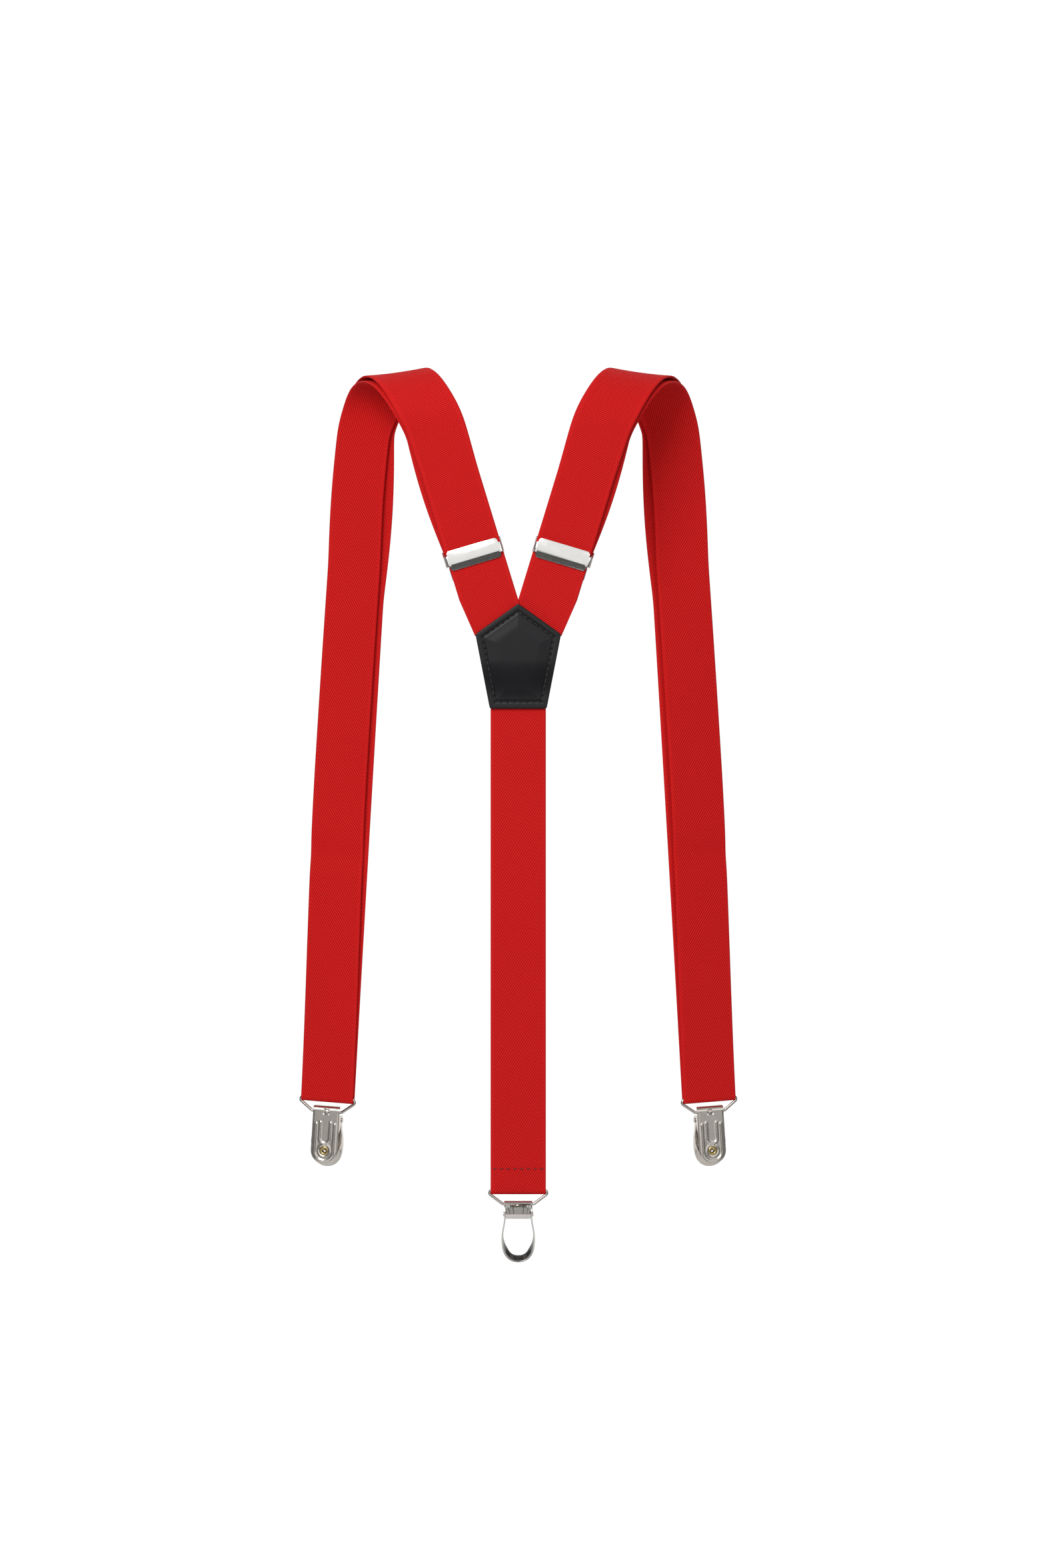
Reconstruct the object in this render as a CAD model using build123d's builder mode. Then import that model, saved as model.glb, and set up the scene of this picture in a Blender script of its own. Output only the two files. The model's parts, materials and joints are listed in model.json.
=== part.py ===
from build123d import *
import os
from math import cos, pi, radians, sin, tan

# Y-back clip-on suspenders, hanging over a pair of shoulders. Millimetres.
# X runs across the back, Y from the back (-) to the front (+), Z up. The origin lies
# midway between the two shoulder folds, at the height of their underside.

# ---- webbing ----
webbing_width = 35.0
webbing_thickness = 1.5
layer_spacing = 3.66  # between the centres of the two layers of a doubled run
return_shift = 1.2  # the return run lies this far outside the outer run at the back, and none at the front

# ---- how the straps lie on the shoulders ----
fold_radius = 34.0  # centre of the outer layer, over the shoulder
fold_top = layer_spacing + webbing_thickness / 2
fold_centre_z = fold_top - fold_radius
back_x = 53.0  # centre of the strap where it starts to go over, at the back
front_x = 97.4  # the same at the front
fold_swell = 3.4  # the centre line bows outwards by this much on its way over
shoulder_slope = 8.0  # the fold's width falls outwards by this angle
yoke_lean = 16.6
yoke_bottom_z = -179.0
near_end_z = fold_centre_z - 6  # where the return run leaves the shoulder, behind
front_top_z = -80.0
front_top_out = (2.4, 2.0)  # from the fold's front end to the top of the straight run, in X and Y
ring_x = 123.5
ring_y = 38.0
ring_z = -462.0
front_yaw = 13.0

# ---- crosspatch ----
patch_apex_z = -145.0
patch_shoulder = (26.4, -164.0)
patch_foot = (17.8, -210.6)
patch_thickness = 1.6
backing_thickness = 1.0
backing_inset = 2.0
patch_corner = 2.2
patch_edge_round = 0.5
patch_stitch_inset = 4.2
layer_gap = 0.05
back_plane_y = -34.4  # centre of the back strap's webbing
patch_layer_y = {-1: back_plane_y - 3.7, 1: back_plane_y - 1.6}  # the left end lies over the right
layer_margin = 1.5  # the strap ends stop this far inside the patch's shoulders
stitch_pitch = 3.95
stitch_length = 2.7
thread_radius = 0.28
thread_gap = 0.02

# ---- back strap ----
back_strap_top_z = -178.0
back_ring_z = -515.6
tail_height = 21.0
tail_meet_height = 8.0  # the folded tail meets the main layer at this height above the bar
tail_stitch_height = 15.0
back_stitch_count = 8
row_margin = 1.5  # from the webbing's edge to the end of its row of stitches

# ---- wire rings ----
wire_radius = 1.0
ring_half_width = 21.5  # to the sharp corner, before it is rounded
ring_height = 8.6
ring_foot_half_width = 9.9
ring_corner_radius = 1.7
loop_clearance = 0.08
loop_corner = 6.0  # the webbing's corners are rounded here, clear of the ring's bends

# ---- clips, in their own frame: the ring's lower bar at the origin, front towards -Y ----
sheet = 0.8
plate_half_width = 8.9
plate_y = 1.5  # middle of the back plate's sheet
plate_foot_z = -25.2
flange_root_z = 0.4
flange_top_z = 3.9
flange_top_y = 0.5
window_size = 4.4
# half width, top, foot centre, depth and band width of the raised beads
plate_beads = ((6.3, -6.4, plate_foot_z - 1.2, 0.45, 1.0), (3.4, -4.8, -17.6, 0.4, 0.9))
tongue_width = 2.4
ear_front_y = -7.4
ear_top_z = -2.2
ear_bottom_z = -13.4
ear_corner = 1.2
ear_slope_z = 5.6
ear_toe_y = 0.9
pivot_y = -5.4
pivot_z = -5.4
pivot_radius = 0.9
pivot_clearance = 0.06
pivot_head_radius = 1.5
pivot_head = 0.7
rivet_z = -25.4
rivet_radius = 2.9
rivet_barrel = 1.7
rivet_hole = 1.0
rivet_crown = 0.75
rivet_curl = (0.9, 0.4)  # how far the eyelet's inner end is rolled out, and its thickness
pad_half_width = 5.6
pad_top_z = -13.5
pad_bottom_z = -29.6
pad_front_y = -0.9
tooth_height = 0.5
pad_teeth_z = (-15.0, -17.0, -19.0, -21.0)
tooth_half_width = 0.8
jaw_half_width = 9.7
jaw_bottom_z = -34.8
jaw_sheet = 0.9
jaw_eye = 1.6  # half width of the eyes on the pin
jaw_heel_z = -27.0
jaw_waist_z = -18.0
jaw_scoop = 3.0
lever_half_width = 7.9
lever_length = 20.5
lever_y = -8.6
lever_tab_x = 6.6
lever_lip = 3.2
back_clip_swing = 72.0  # the open back clip's plate hangs this far behind its jaw
lever_opening = 150.0

# ---- adjusters, in their own frame: Z up the yoke strap, front towards -Y ----
adjuster_z = -113.4
face_length = 33.4
face_height = 8.6
bevel_height = 4.0
bevel_depth = 2.2
face_clearance = 0.35
cheek_x = 19.2
cheek_sheet = 1.0
cheek_height = 6.4
bar_radius = 1.0
bar_z = 5.2
hinge_y = 3.6
hinge_z = -2.4
hinge_radius = 0.7
adjuster_lever_length = 9.0
adjuster_lever_half_width = 17.6
tooth_pitch = 2.4
end_tail = 16.0
end_stitch_height = 11.0
end_shift = 0.5
face_corner = 1.4
cheek_bend = 2.6  # depth in which the face curls round into the cheek
cheek_boss = 1.8
hinge_boss = 1.6

cut_reach = 60.0  # longer than any piece that a cutter passes through

os.makedirs("parts", exist_ok=True)


def save(piece, name):
    piece.label = name
    export_step(piece, f"parts/{name}.step")


# ------------------------------------------------------------------ strap routes


def fold_point(side, angle, inward=0.0):
    """Centre of a layer over the shoulder; angle 0 is at the back and 180 at the front."""
    share = angle / 180
    x = back_x + (front_x - back_x) * share + fold_swell * sin(radians(angle))
    radius = fold_radius - inward
    y = -radius * cos(radians(angle))
    z = fold_centre_z + radius * sin(radians(angle))
    return Vector(side * x, y, z)


def yoke_point(side, z, inward=0.0):
    """Centre of a layer on the straight yoke run at the back."""
    drop = fold_centre_z - z
    return Vector(side * (back_x - drop * tan(radians(yoke_lean))), -fold_radius + inward, z)


def section_plane(centre, tangent, across):
    """Plane of one cross section of webbing: its x runs across the webbing."""
    width_direction = (across - tangent * across.dot(tangent)).normalized()
    return Plane(origin=centre, x_dir=width_direction, z_dir=tangent)


def width_direction(side, angle):
    """Across the webbing over the shoulder: level at the back, turned by the yaw at the front."""
    fall = tan(radians(shoulder_slope)) * sin(radians(angle))
    yaw = radians(front_yaw) * max(0.0, (angle - 90) / 90)
    return Vector(cos(yaw), side * sin(yaw), -side * fall)


def shoulder_sections(side, inward, shift, first_z):
    """Cross section planes of one layer, from the yoke at the back to the front."""
    outside = Vector(side * shift, 0, 0)
    start = yoke_point(side, first_z, inward) + outside
    centres = [start]
    across = [Vector(1, 0, 0)]
    for angle in range(0, 181, 15):
        remaining = outside * (1 - angle / 180)
        centres.append(fold_point(side, angle, inward) + remaining)
        across.append(width_direction(side, angle))
    up = front_up(side)
    inner_side = up.cross(front_across(side)) * -1
    end_height = (front_top_z - ring_z) / up.Z
    offset = inner_side * (inward - layer_spacing / 2)
    centres.append(ring_centre(side) + up * end_height + offset)
    across.append(front_across(side))
    planes = []
    for index, centre in enumerate(centres):
        before = centres[max(index - 1, 0)]
        after = centres[min(index + 1, len(centres) - 1)]
        tangent = (after - before).normalized()
        if index == len(centres) - 1:
            tangent = up * -1
        planes.append(section_plane(centre, tangent, across[index]))
    return planes


def ring_centre(side):
    return Vector(side * ring_x, ring_y, ring_z)


def front_up(side):
    """Direction up the front strap, from the ring to the shoulder."""
    top_x, top_y = front_x + front_top_out[0], fold_radius + front_top_out[1] - layer_spacing / 2
    top = Vector(side * top_x, top_y, front_top_z)
    return (top - ring_centre(side)).normalized()


def front_across(side):
    """Across the front strap, to the +X side, square to its length."""
    yaw = radians(front_yaw)
    level = Vector(cos(yaw), side * sin(yaw), 0)
    up = front_up(side)
    return (level - up * level.dot(up)).normalized()


def loft_strap(planes):
    """Webbing through a run of cross sections, one straight piece between each two."""
    with BuildPart() as strap:
        for lower, upper in zip(planes, planes[1:]):
            with BuildSketch(lower):
                Rectangle(webbing_width, webbing_thickness)
            with BuildSketch(upper):
                Rectangle(webbing_width, webbing_thickness)
            loft(ruled=True)
    return strap.part


# ------------------------------------------------------------------ shoulder runs

side_names = {-1: "left", 1: "right"}

for side, name in side_names.items():
    planes = shoulder_sections(side, 0.0, 0.0, yoke_bottom_z)
    foot = planes[0].origin
    foot = Vector(foot.X, patch_layer_y[side], foot.Z)
    planes[0] = section_plane(foot, (planes[1].origin - foot).normalized(), Vector(1, 0, 0))
    with BuildPart() as shoulder_strap:
        add(loft_strap(planes))
        # the end is cut to lie inside the patch's outline
        with BuildSketch(Plane.XZ.offset(-cut_reach)):
            with BuildLine():
                inner_x = patch_foot[0] - backing_inset
                outer_x = patch_shoulder[0] - backing_inset
                Polyline(
                    (side * inner_x, patch_foot[1]),
                    (side * outer_x, patch_shoulder[1] - layer_margin),
                    (side * (outer_x + cut_reach), patch_shoulder[1] - layer_margin),
                    (side * (outer_x + cut_reach), patch_foot[1]),
                    close=True,
                )
            make_face()
        extrude(amount=2 * cut_reach, mode=Mode.SUBTRACT)
    save(shoulder_strap.part, f"{name}_shoulder_strap")

    return_planes = shoulder_sections(side, layer_spacing, return_shift, near_end_z)
    save(loft_strap(return_planes), f"{name}_return_strap")


# ------------------------------------------------------------------ crosspatch

patch_back_y = patch_layer_y[-1] - webbing_thickness / 2 - 3 * layer_gap
patch_outline = [
    (0, patch_apex_z),
    (patch_shoulder[0], patch_shoulder[1]),
    (patch_foot[0], patch_foot[1]),
    (-patch_foot[0], patch_foot[1]),
    (-patch_shoulder[0], patch_shoulder[1]),
]


def back_plane(y):
    """Plane parallel to the back, seen from behind: its x is X, its y is Z, its normal -Y."""
    return Plane(origin=(0, y, 0), x_dir=(1, 0, 0), z_dir=(0, -1, 0))


with BuildPart() as crosspatch:
    with BuildSketch(back_plane(patch_back_y)) as patch_face:
        Polygon(*patch_outline, align=None)
        fillet(patch_face.vertices(), patch_corner)
    extrude(amount=patch_thickness)
    front_edges = crosspatch.faces().sort_by(Axis.Y)[0].edges()
    fillet(front_edges, patch_edge_round)
save(crosspatch.part, "crosspatch")

backing_front_y = back_plane_y + webbing_thickness / 2 + layer_gap
with BuildPart() as backing:
    with BuildSketch(back_plane(backing_front_y + backing_thickness)) as backing_face:
        Polygon(*patch_outline, align=None)
        offset(amount=-backing_inset, kind=Kind.INTERSECTION)
        fillet(backing_face.vertices(), patch_corner)
    extrude(amount=backing_thickness)
save(backing.part, "crosspatch_backing")


def stitch_row(start, end, count):
    """Middles of the stitches between two points of the back plane, with their angle."""
    run = end - start
    angle = run.get_angle(Vector(1, 0, 0)) * (1 if run.Y >= 0 else -1)
    return [(start + run * ((index + 0.5) / count), angle) for index in range(count)]


def stitching(rows, face_y):
    """One round thread segment for each stitch, lying just off the face at face_y."""
    with BuildPart() as threads:
        for middle, angle in rows:
            direction = Vector(cos(radians(angle)), 0, sin(radians(angle)))
            centre = Vector(middle.X, face_y - thread_radius - thread_gap, middle.Y)
            with BuildSketch(Plane(origin=centre - direction * stitch_length / 2, z_dir=direction)):
                Circle(thread_radius)
            extrude(amount=stitch_length)
    return threads.part


patch_front_y = patch_back_y - patch_thickness
with BuildSketch() as stitch_outline:
    Polygon(*patch_outline, align=None)
    offset(amount=-patch_stitch_inset, kind=Kind.INTERSECTION)
corners = [Vector(corner.X, corner.Y, 0) for corner in stitch_outline.vertices()]
corners = sorted(corners, key=lambda corner: Vector(1, 0, 0).get_signed_angle(corner - Vector(0, -180, 0)))
patch_rows = []
for start, end in zip(corners, corners[1:] + corners[:1]):
    count = round((end - start).length / stitch_pitch)
    patch_rows += stitch_row(start, end, count)
save(stitching(patch_rows, patch_front_y), "crosspatch_stitching")

# ------------------------------------------------------------------ strap ends round the rings

loop_inner = wire_radius + loop_clearance
loop_outer = loop_inner + webbing_thickness
loop_middle = loop_inner + webbing_thickness / 2


def rounded_foot(width, height, below):
    """Front view of a strap end: a long strip whose two lower corners are rounded."""
    with Locations((0, (height - below) / 2)):
        strip = Rectangle(width, height + below)
    fillet(strip.vertices().group_by(Axis.Y)[0], loop_corner)


def sewn_end(main_length, tail_length):
    """Webbing folded round a bar at the origin. The main layer goes up at -Y, the tail at +Y."""
    meet = tail_meet_height
    front = -loop_outer
    tail_face = front + webbing_thickness + layer_gap
    tail_back = tail_face + webbing_thickness
    with BuildPart() as piece:
        with BuildSketch(Plane.YZ):
            with BuildLine():
                Line((front, main_length), (front, 0))
                ThreePointArc((front, 0), (0, -loop_outer), (loop_outer, 0))
                Line((loop_outer, 0), (tail_back, meet))
                Line((tail_back, meet), (tail_back, tail_length))
                Line((tail_back, tail_length), (tail_face, tail_length))
                Line((tail_face, tail_length), (tail_face, meet))
                Line((tail_face, meet), (loop_inner, 0))
                ThreePointArc((loop_inner, 0), (0, -loop_inner), (-loop_inner, 0))
                Line((-loop_inner, 0), (front + webbing_thickness, main_length))
                Line((front + webbing_thickness, main_length), (front, main_length))
            make_face()
        extrude(amount=webbing_width / 2, both=True)
        with BuildSketch(Plane.XZ.offset(-cut_reach)):
            rounded_foot(webbing_width, main_length + 1, loop_outer)
        extrude(amount=2 * cut_reach, mode=Mode.INTERSECT)
    return piece.part


back_bar = Vector(0, back_plane_y + loop_middle, back_ring_z)
back_strap_part = sewn_end(back_strap_top_z - back_ring_z, tail_height)
save(back_strap_part.moved(Location(back_bar)), "back_strap")

tail_row = stitch_row(
    Vector(-webbing_width / 2 + row_margin, back_ring_z + tail_stitch_height, 0),
    Vector(webbing_width / 2 - row_margin, back_ring_z + tail_stitch_height, 0),
    back_stitch_count,
)
save(stitching(tail_row, back_plane_y - webbing_thickness / 2), "back_strap_stitching")


def doubled_run(length):
    """A front strap: two layers joined round a bar at the origin, up to the given height."""
    with BuildPart() as piece:
        with BuildSketch(Plane.YZ):
            with BuildLine():
                Line((-loop_outer, length), (-loop_outer, 0))
                ThreePointArc((-loop_outer, 0), (0, -loop_outer), (loop_outer, 0))
                Line((loop_outer, 0), (loop_outer, length))
                Line((loop_outer, length), (loop_inner, length))
                Line((loop_inner, length), (loop_inner, 0))
                ThreePointArc((loop_inner, 0), (0, -loop_inner), (-loop_inner, 0))
                Line((-loop_inner, 0), (-loop_inner, length))
                Line((-loop_inner, length), (-loop_outer, length))
            make_face()
        extrude(amount=webbing_width / 2, both=True)
        with BuildSketch(Plane.XZ.offset(-cut_reach)):
            rounded_foot(webbing_width, length + 1, loop_outer)
        extrude(amount=2 * cut_reach, mode=Mode.INTERSECT)
    return piece.part


def front_location(side):
    """Where a front strap's ring bar lies: X across the strap, Z up it, -Y towards the body."""
    return Plane(origin=ring_centre(side), x_dir=front_across(side), z_dir=front_up(side)).location


for side, name in side_names.items():
    run_length = (front_top_z - ring_z) / front_up(side).Z - 0.05
    save(doubled_run(run_length).moved(front_location(side)), f"{name}_front_strap")


# ------------------------------------------------------------------ wire rings

with BuildPart() as ring:
    with BuildLine() as half_ring:
        FilletPolyline(
            (0, 0, 0),
            (ring_half_width, 0, 0),
            (ring_foot_half_width, 0, -ring_height),
            (0, 0, -ring_height),
            radius=ring_corner_radius,
        )
    with BuildSketch(Plane.YZ):
        Circle(wire_radius)
    sweep()
    mirror(about=Plane.YZ)
ring_part = ring.part

ring_places = {
    "left": front_location(-1),
    "right": front_location(1),
    "back": Location(back_bar),
}
for name, place in ring_places.items():
    save(ring_part.moved(place), f"{name}_ring")

# ------------------------------------------------------------------ clips

plate_back = plate_y + sheet / 2
plate_front = plate_y - sheet / 2
bar_clear = wire_radius + loop_clearance
curl = bar_clear + sheet
tongue_root_z = -window_size / 2 - 0.3


def side_plane(x=0.0):
    """Side view of a clip: its x is the clip's Y, its y the clip's Z."""
    return Plane.YZ.offset(x)


def front_plane(y):
    """Front view of a clip at depth y: its x is X, its y is Z, its normal -Y."""
    return Plane(origin=(0, y, 0), x_dir=(1, 0, 0), z_dir=(0, -1, 0))


def channel(half_width, top, foot_centre, depth, band):
    """A raised U bead on the plate's back, open at the top."""
    with BuildPart() as bead:
        with BuildSketch(front_plane(plate_back)):
            with BuildLine() as line:
                Line((-half_width, top), (-half_width, foot_centre))
                ThreePointArc(
                    (-half_width, foot_centre),
                    (0, foot_centre - half_width),
                    (half_width, foot_centre),
                )
                Line((half_width, foot_centre), (half_width, top))
            trace(line_width=band)
        extrude(amount=-depth)
    return bead.part


with BuildPart() as clip_plate:
    with BuildSketch(front_plane(plate_back)):
        with BuildLine():
            Line((-plate_half_width, plate_foot_z), (-plate_half_width, flange_root_z))
            Line((-plate_half_width, flange_root_z), (plate_half_width, flange_root_z))
            Line((plate_half_width, flange_root_z), (plate_half_width, plate_foot_z))
            ThreePointArc(
                (plate_half_width, plate_foot_z),
                (0, plate_foot_z - plate_half_width),
                (-plate_half_width, plate_foot_z),
            )
        make_face()
    extrude(amount=sheet)
    # the flange at the top leans forward over the ring's bar
    with BuildSketch(side_plane()):
        Polygon(
            (plate_back, flange_root_z),
            (plate_back, flange_root_z + sheet),
            (flange_top_y + sheet, flange_top_z),
            (flange_top_y, flange_top_z),
            (plate_front, flange_root_z + 1.5 * sheet),
            (plate_front, flange_root_z),
            align=None,
        )
    extrude(amount=plate_half_width, both=True)
    # window across the fold
    with BuildSketch(front_plane(2 * window_size)):
        Rectangle(window_size, window_size)
    extrude(amount=3 * window_size, mode=Mode.SUBTRACT)
    # tongue, rolled round the ring's bar
    with BuildSketch(side_plane()):
        with BuildLine():
            Line((plate_front, tongue_root_z), (bar_clear, 0))
            ThreePointArc((bar_clear, 0), (-bar_clear, 0), (0, -bar_clear))
            Line((0, -bar_clear), (0, -curl))
            ThreePointArc((0, -curl), (-curl, 0), (0, curl))
            ThreePointArc(
                (0, curl),
                (curl * sin(pi / 4), curl * cos(pi / 4)),
                (curl, 0),
            )
            Line((curl, 0), (plate_back, tongue_root_z))
            Line((plate_back, tongue_root_z), (plate_front, tongue_root_z))
        make_face()
    extrude(amount=tongue_width / 2, both=True)
    # ears, folded forward from the plate's edges, with holes for the pivot pin
    for ear_x in (-plate_half_width, plate_half_width - sheet):
        with BuildSketch(side_plane(ear_x)):
            Polygon(
                (plate_back, ear_top_z),
                (ear_front_y + ear_corner, ear_top_z),
                (ear_front_y, ear_top_z - ear_corner),
                (ear_front_y, ear_bottom_z + ear_slope_z),
                (plate_front - ear_toe_y, ear_bottom_z),
                (plate_back, ear_bottom_z),
                align=None,
            )
        extrude(amount=sheet)
    with BuildSketch(side_plane(-cut_reach)):
        with Locations((pivot_y, pivot_z)):
            Circle(pivot_radius)
    extrude(amount=2 * cut_reach, mode=Mode.SUBTRACT)
    # the eyelet's hole
    with BuildSketch(front_plane(cut_reach)):
        with Locations((0, rivet_z)):
            Circle(rivet_barrel)
    extrude(amount=2 * cut_reach, mode=Mode.SUBTRACT)
    for bead in plate_beads:
        add(channel(*bead))

with BuildPart() as clip_pad:
    with BuildSketch(front_plane(plate_front)):
        with BuildLine():
            Line((-pad_half_width, pad_bottom_z + pad_half_width), (-pad_half_width, pad_top_z))
            Line((-pad_half_width, pad_top_z), (pad_half_width, pad_top_z))
            Line((pad_half_width, pad_top_z), (pad_half_width, pad_bottom_z + pad_half_width))
            ThreePointArc(
                (pad_half_width, pad_bottom_z + pad_half_width),
                (0, pad_bottom_z),
                (-pad_half_width, pad_bottom_z + pad_half_width),
            )
        make_face()
    extrude(amount=plate_front - pad_front_y - tooth_height)
    # cross ribs that grip the cloth
    for tooth_z in pad_teeth_z:
        with BuildSketch(side_plane()):
            Polygon(
                (pad_front_y + tooth_height, tooth_z + tooth_half_width),
                (pad_front_y, tooth_z),
                (pad_front_y + tooth_height, tooth_z - tooth_half_width),
                align=None,
            )
        extrude(amount=pad_half_width - 0.4, both=True)
    with BuildSketch(front_plane(cut_reach)):
        with Locations((0, rivet_z)):
            Circle(rivet_barrel)
    extrude(amount=2 * cut_reach, mode=Mode.SUBTRACT)

with BuildPart() as clip_rivet:
    with BuildSketch(front_plane(plate_back + rivet_crown)):
        with Locations((0, rivet_z)):
            Circle(rivet_radius)
            Circle(rivet_hole, mode=Mode.SUBTRACT)
    extrude(amount=rivet_crown)
    rim = clip_rivet.edges().group_by(Axis.Y)[-1].sort_by(SortBy.RADIUS)[-1]
    fillet(rim, rivet_crown * 2 / 3)
    with BuildSketch(front_plane(plate_back)):
        with Locations((0, rivet_z)):
            Circle(rivet_barrel)
            Circle(rivet_hole, mode=Mode.SUBTRACT)
    extrude(amount=plate_back - pad_front_y - tooth_height)
    with BuildSketch(front_plane(pad_front_y + tooth_height)):
        with Locations((0, rivet_z)):
            Circle(rivet_barrel + rivet_curl[0])
            Circle(rivet_hole, mode=Mode.SUBTRACT)
    extrude(amount=rivet_curl[1])

with BuildPart() as clip_pin:
    with BuildSketch(side_plane(-plate_half_width - pivot_head)):
        with Locations((pivot_y, pivot_z)):
            Circle(pivot_radius)
    extrude(amount=2 * (plate_half_width + pivot_head))
    for head_x, way in ((-plate_half_width, -pivot_head), (plate_half_width, pivot_head)):
        with BuildSketch(side_plane(head_x)):
            with Locations((pivot_y, pivot_z)):
                Circle(pivot_head_radius)
        extrude(amount=way)


# jaw: a flat strip bent to a U, with an eye at each end and a scooped foot
jaw_leg_x = plate_half_width - sheet - 2 * pivot_clearance
leg_front = pivot_y - jaw_eye
leg_back = pivot_y + jaw_eye
jaw_foot_y = pad_front_y - 0.35
jaw_top_z = pivot_z + jaw_eye


def jaw_front_view(inset, foot_rise):
    """Face inside the U's outside line, drawn in the front view."""
    neck = jaw_leg_x - inset
    belly = jaw_half_width - inset
    foot = jaw_bottom_z + inset + foot_rise
    shoulder_z = ear_bottom_z + 4.6
    with BuildSketch() as outline:
        with BuildLine():
            Line((-neck, pivot_z + 4), (-neck, shoulder_z))
            Spline(
                (-neck, shoulder_z),
                (-belly, (ear_bottom_z + foot) / 2 + 1.0),
                (0, foot),
                (belly, (ear_bottom_z + foot) / 2 + 1.0),
                (neck, shoulder_z),
                tangents=[(0, -1), (0, 1)],
            )
            Line((neck, shoulder_z), (neck, pivot_z + 4))
            Line((neck, pivot_z + 4), (-neck, pivot_z + 4))
        make_face()
    return outline.sketch


with BuildPart() as clip_jaw:
    for inset, mode in ((0, Mode.ADD), (jaw_sheet, Mode.SUBTRACT)):
        with BuildSketch(front_plane(jaw_foot_y)):
            add(jaw_front_view(inset, jaw_scoop))
        with BuildSketch(front_plane(leg_front)):
            add(jaw_front_view(inset, 0))
        loft(ruled=True, mode=mode)
    with BuildSketch(side_plane(-cut_reach)):
        with BuildLine():
            Polyline(
                (leg_front, jaw_top_z),
                (leg_front, jaw_bottom_z - 2),
                (jaw_foot_y, jaw_bottom_z - 2),
                (jaw_foot_y, jaw_heel_z),
                (leg_back - 0.6, jaw_waist_z),
                (leg_back, ear_bottom_z),
                (leg_back, jaw_top_z),
                close=True,
            )
        make_face()
    extrude(amount=2 * cut_reach, mode=Mode.INTERSECT)
    with BuildSketch(side_plane(-cut_reach)):
        with Locations((pivot_y, pivot_z)):
            Circle(pivot_radius + pivot_clearance)
    extrude(amount=2 * cut_reach, mode=Mode.SUBTRACT)

# lever: a cover plate with two tabs on the pin and a rolled lip at its free end
lever_top_z = pivot_z + 1.2
lever_foot_z = pivot_z - lever_length
with BuildPart() as clip_lever:
    with BuildSketch(side_plane()):
        Polygon(
            (lever_y, lever_top_z),
            (lever_y, lever_foot_z),
            (lever_y - lever_lip, lever_foot_z - 0.9),
            (lever_y - lever_lip, lever_foot_z - 0.9 + sheet),
            (lever_y - sheet, lever_foot_z + sheet),
            (lever_y - sheet, lever_top_z),
            align=None,
        )
    extrude(amount=lever_half_width, both=True)
    for tab_x in (-lever_tab_x, lever_tab_x - sheet):
        with BuildSketch(side_plane(tab_x)):
            Polygon(
                (lever_y - sheet / 2, lever_top_z),
                (pivot_y, lever_top_z),
                (pivot_y + 1.3, pivot_z),
                (pivot_y, pivot_z - 1.6),
                (lever_y - sheet / 2, pivot_z - 4.5),
                align=None,
            )
        extrude(amount=sheet)
    with BuildSketch(side_plane(-cut_reach)):
        with Locations((pivot_y, pivot_z)):
            Circle(pivot_radius + pivot_clearance)
    extrude(amount=2 * cut_reach, mode=Mode.SUBTRACT)


def turned(angle):
    """Rotation about the clip's pivot pin, in the clip's frame."""
    return Pos(0, pivot_y, pivot_z) * Rot(angle, 0, 0) * Pos(0, -pivot_y, -pivot_z)


lower_bar = Pos(0, 0, -ring_height)
facing_out = Rot(0, 0, 180)  # the front clips face away from the chest
clip_places = {
    "left": (ring_places["left"] * lower_bar * facing_out, 0, 0),
    "right": (ring_places["right"] * lower_bar * facing_out, 0, 0),
    "back": (ring_places["back"] * lower_bar * Rot(back_clip_swing, 0, 0),
             -back_clip_swing, -lever_opening),
}
for name, (place, jaw_angle, lever_angle) in clip_places.items():
    save(clip_plate.part.moved(place), f"{name}_clip_plate")
    save(clip_pad.part.moved(place), f"{name}_clip_pad")
    save(clip_rivet.part.moved(place), f"{name}_clip_rivet")
    save(clip_pin.part.moved(place), f"{name}_clip_pin")
    save(clip_jaw.part.moved(place * turned(jaw_angle)), f"{name}_clip_jaw")
    save(clip_lever.part.moved(place * turned(lever_angle)), f"{name}_clip_lever")

# ------------------------------------------------------------------ adjusters

bar_y = layer_spacing + loop_middle
face_front = -webbing_thickness / 2 - face_clearance - sheet - bevel_depth / 2
face_top = (face_height + bevel_height) / 2
bevel_top = face_top - face_height
cheek_inner = cheek_x - cheek_sheet

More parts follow.
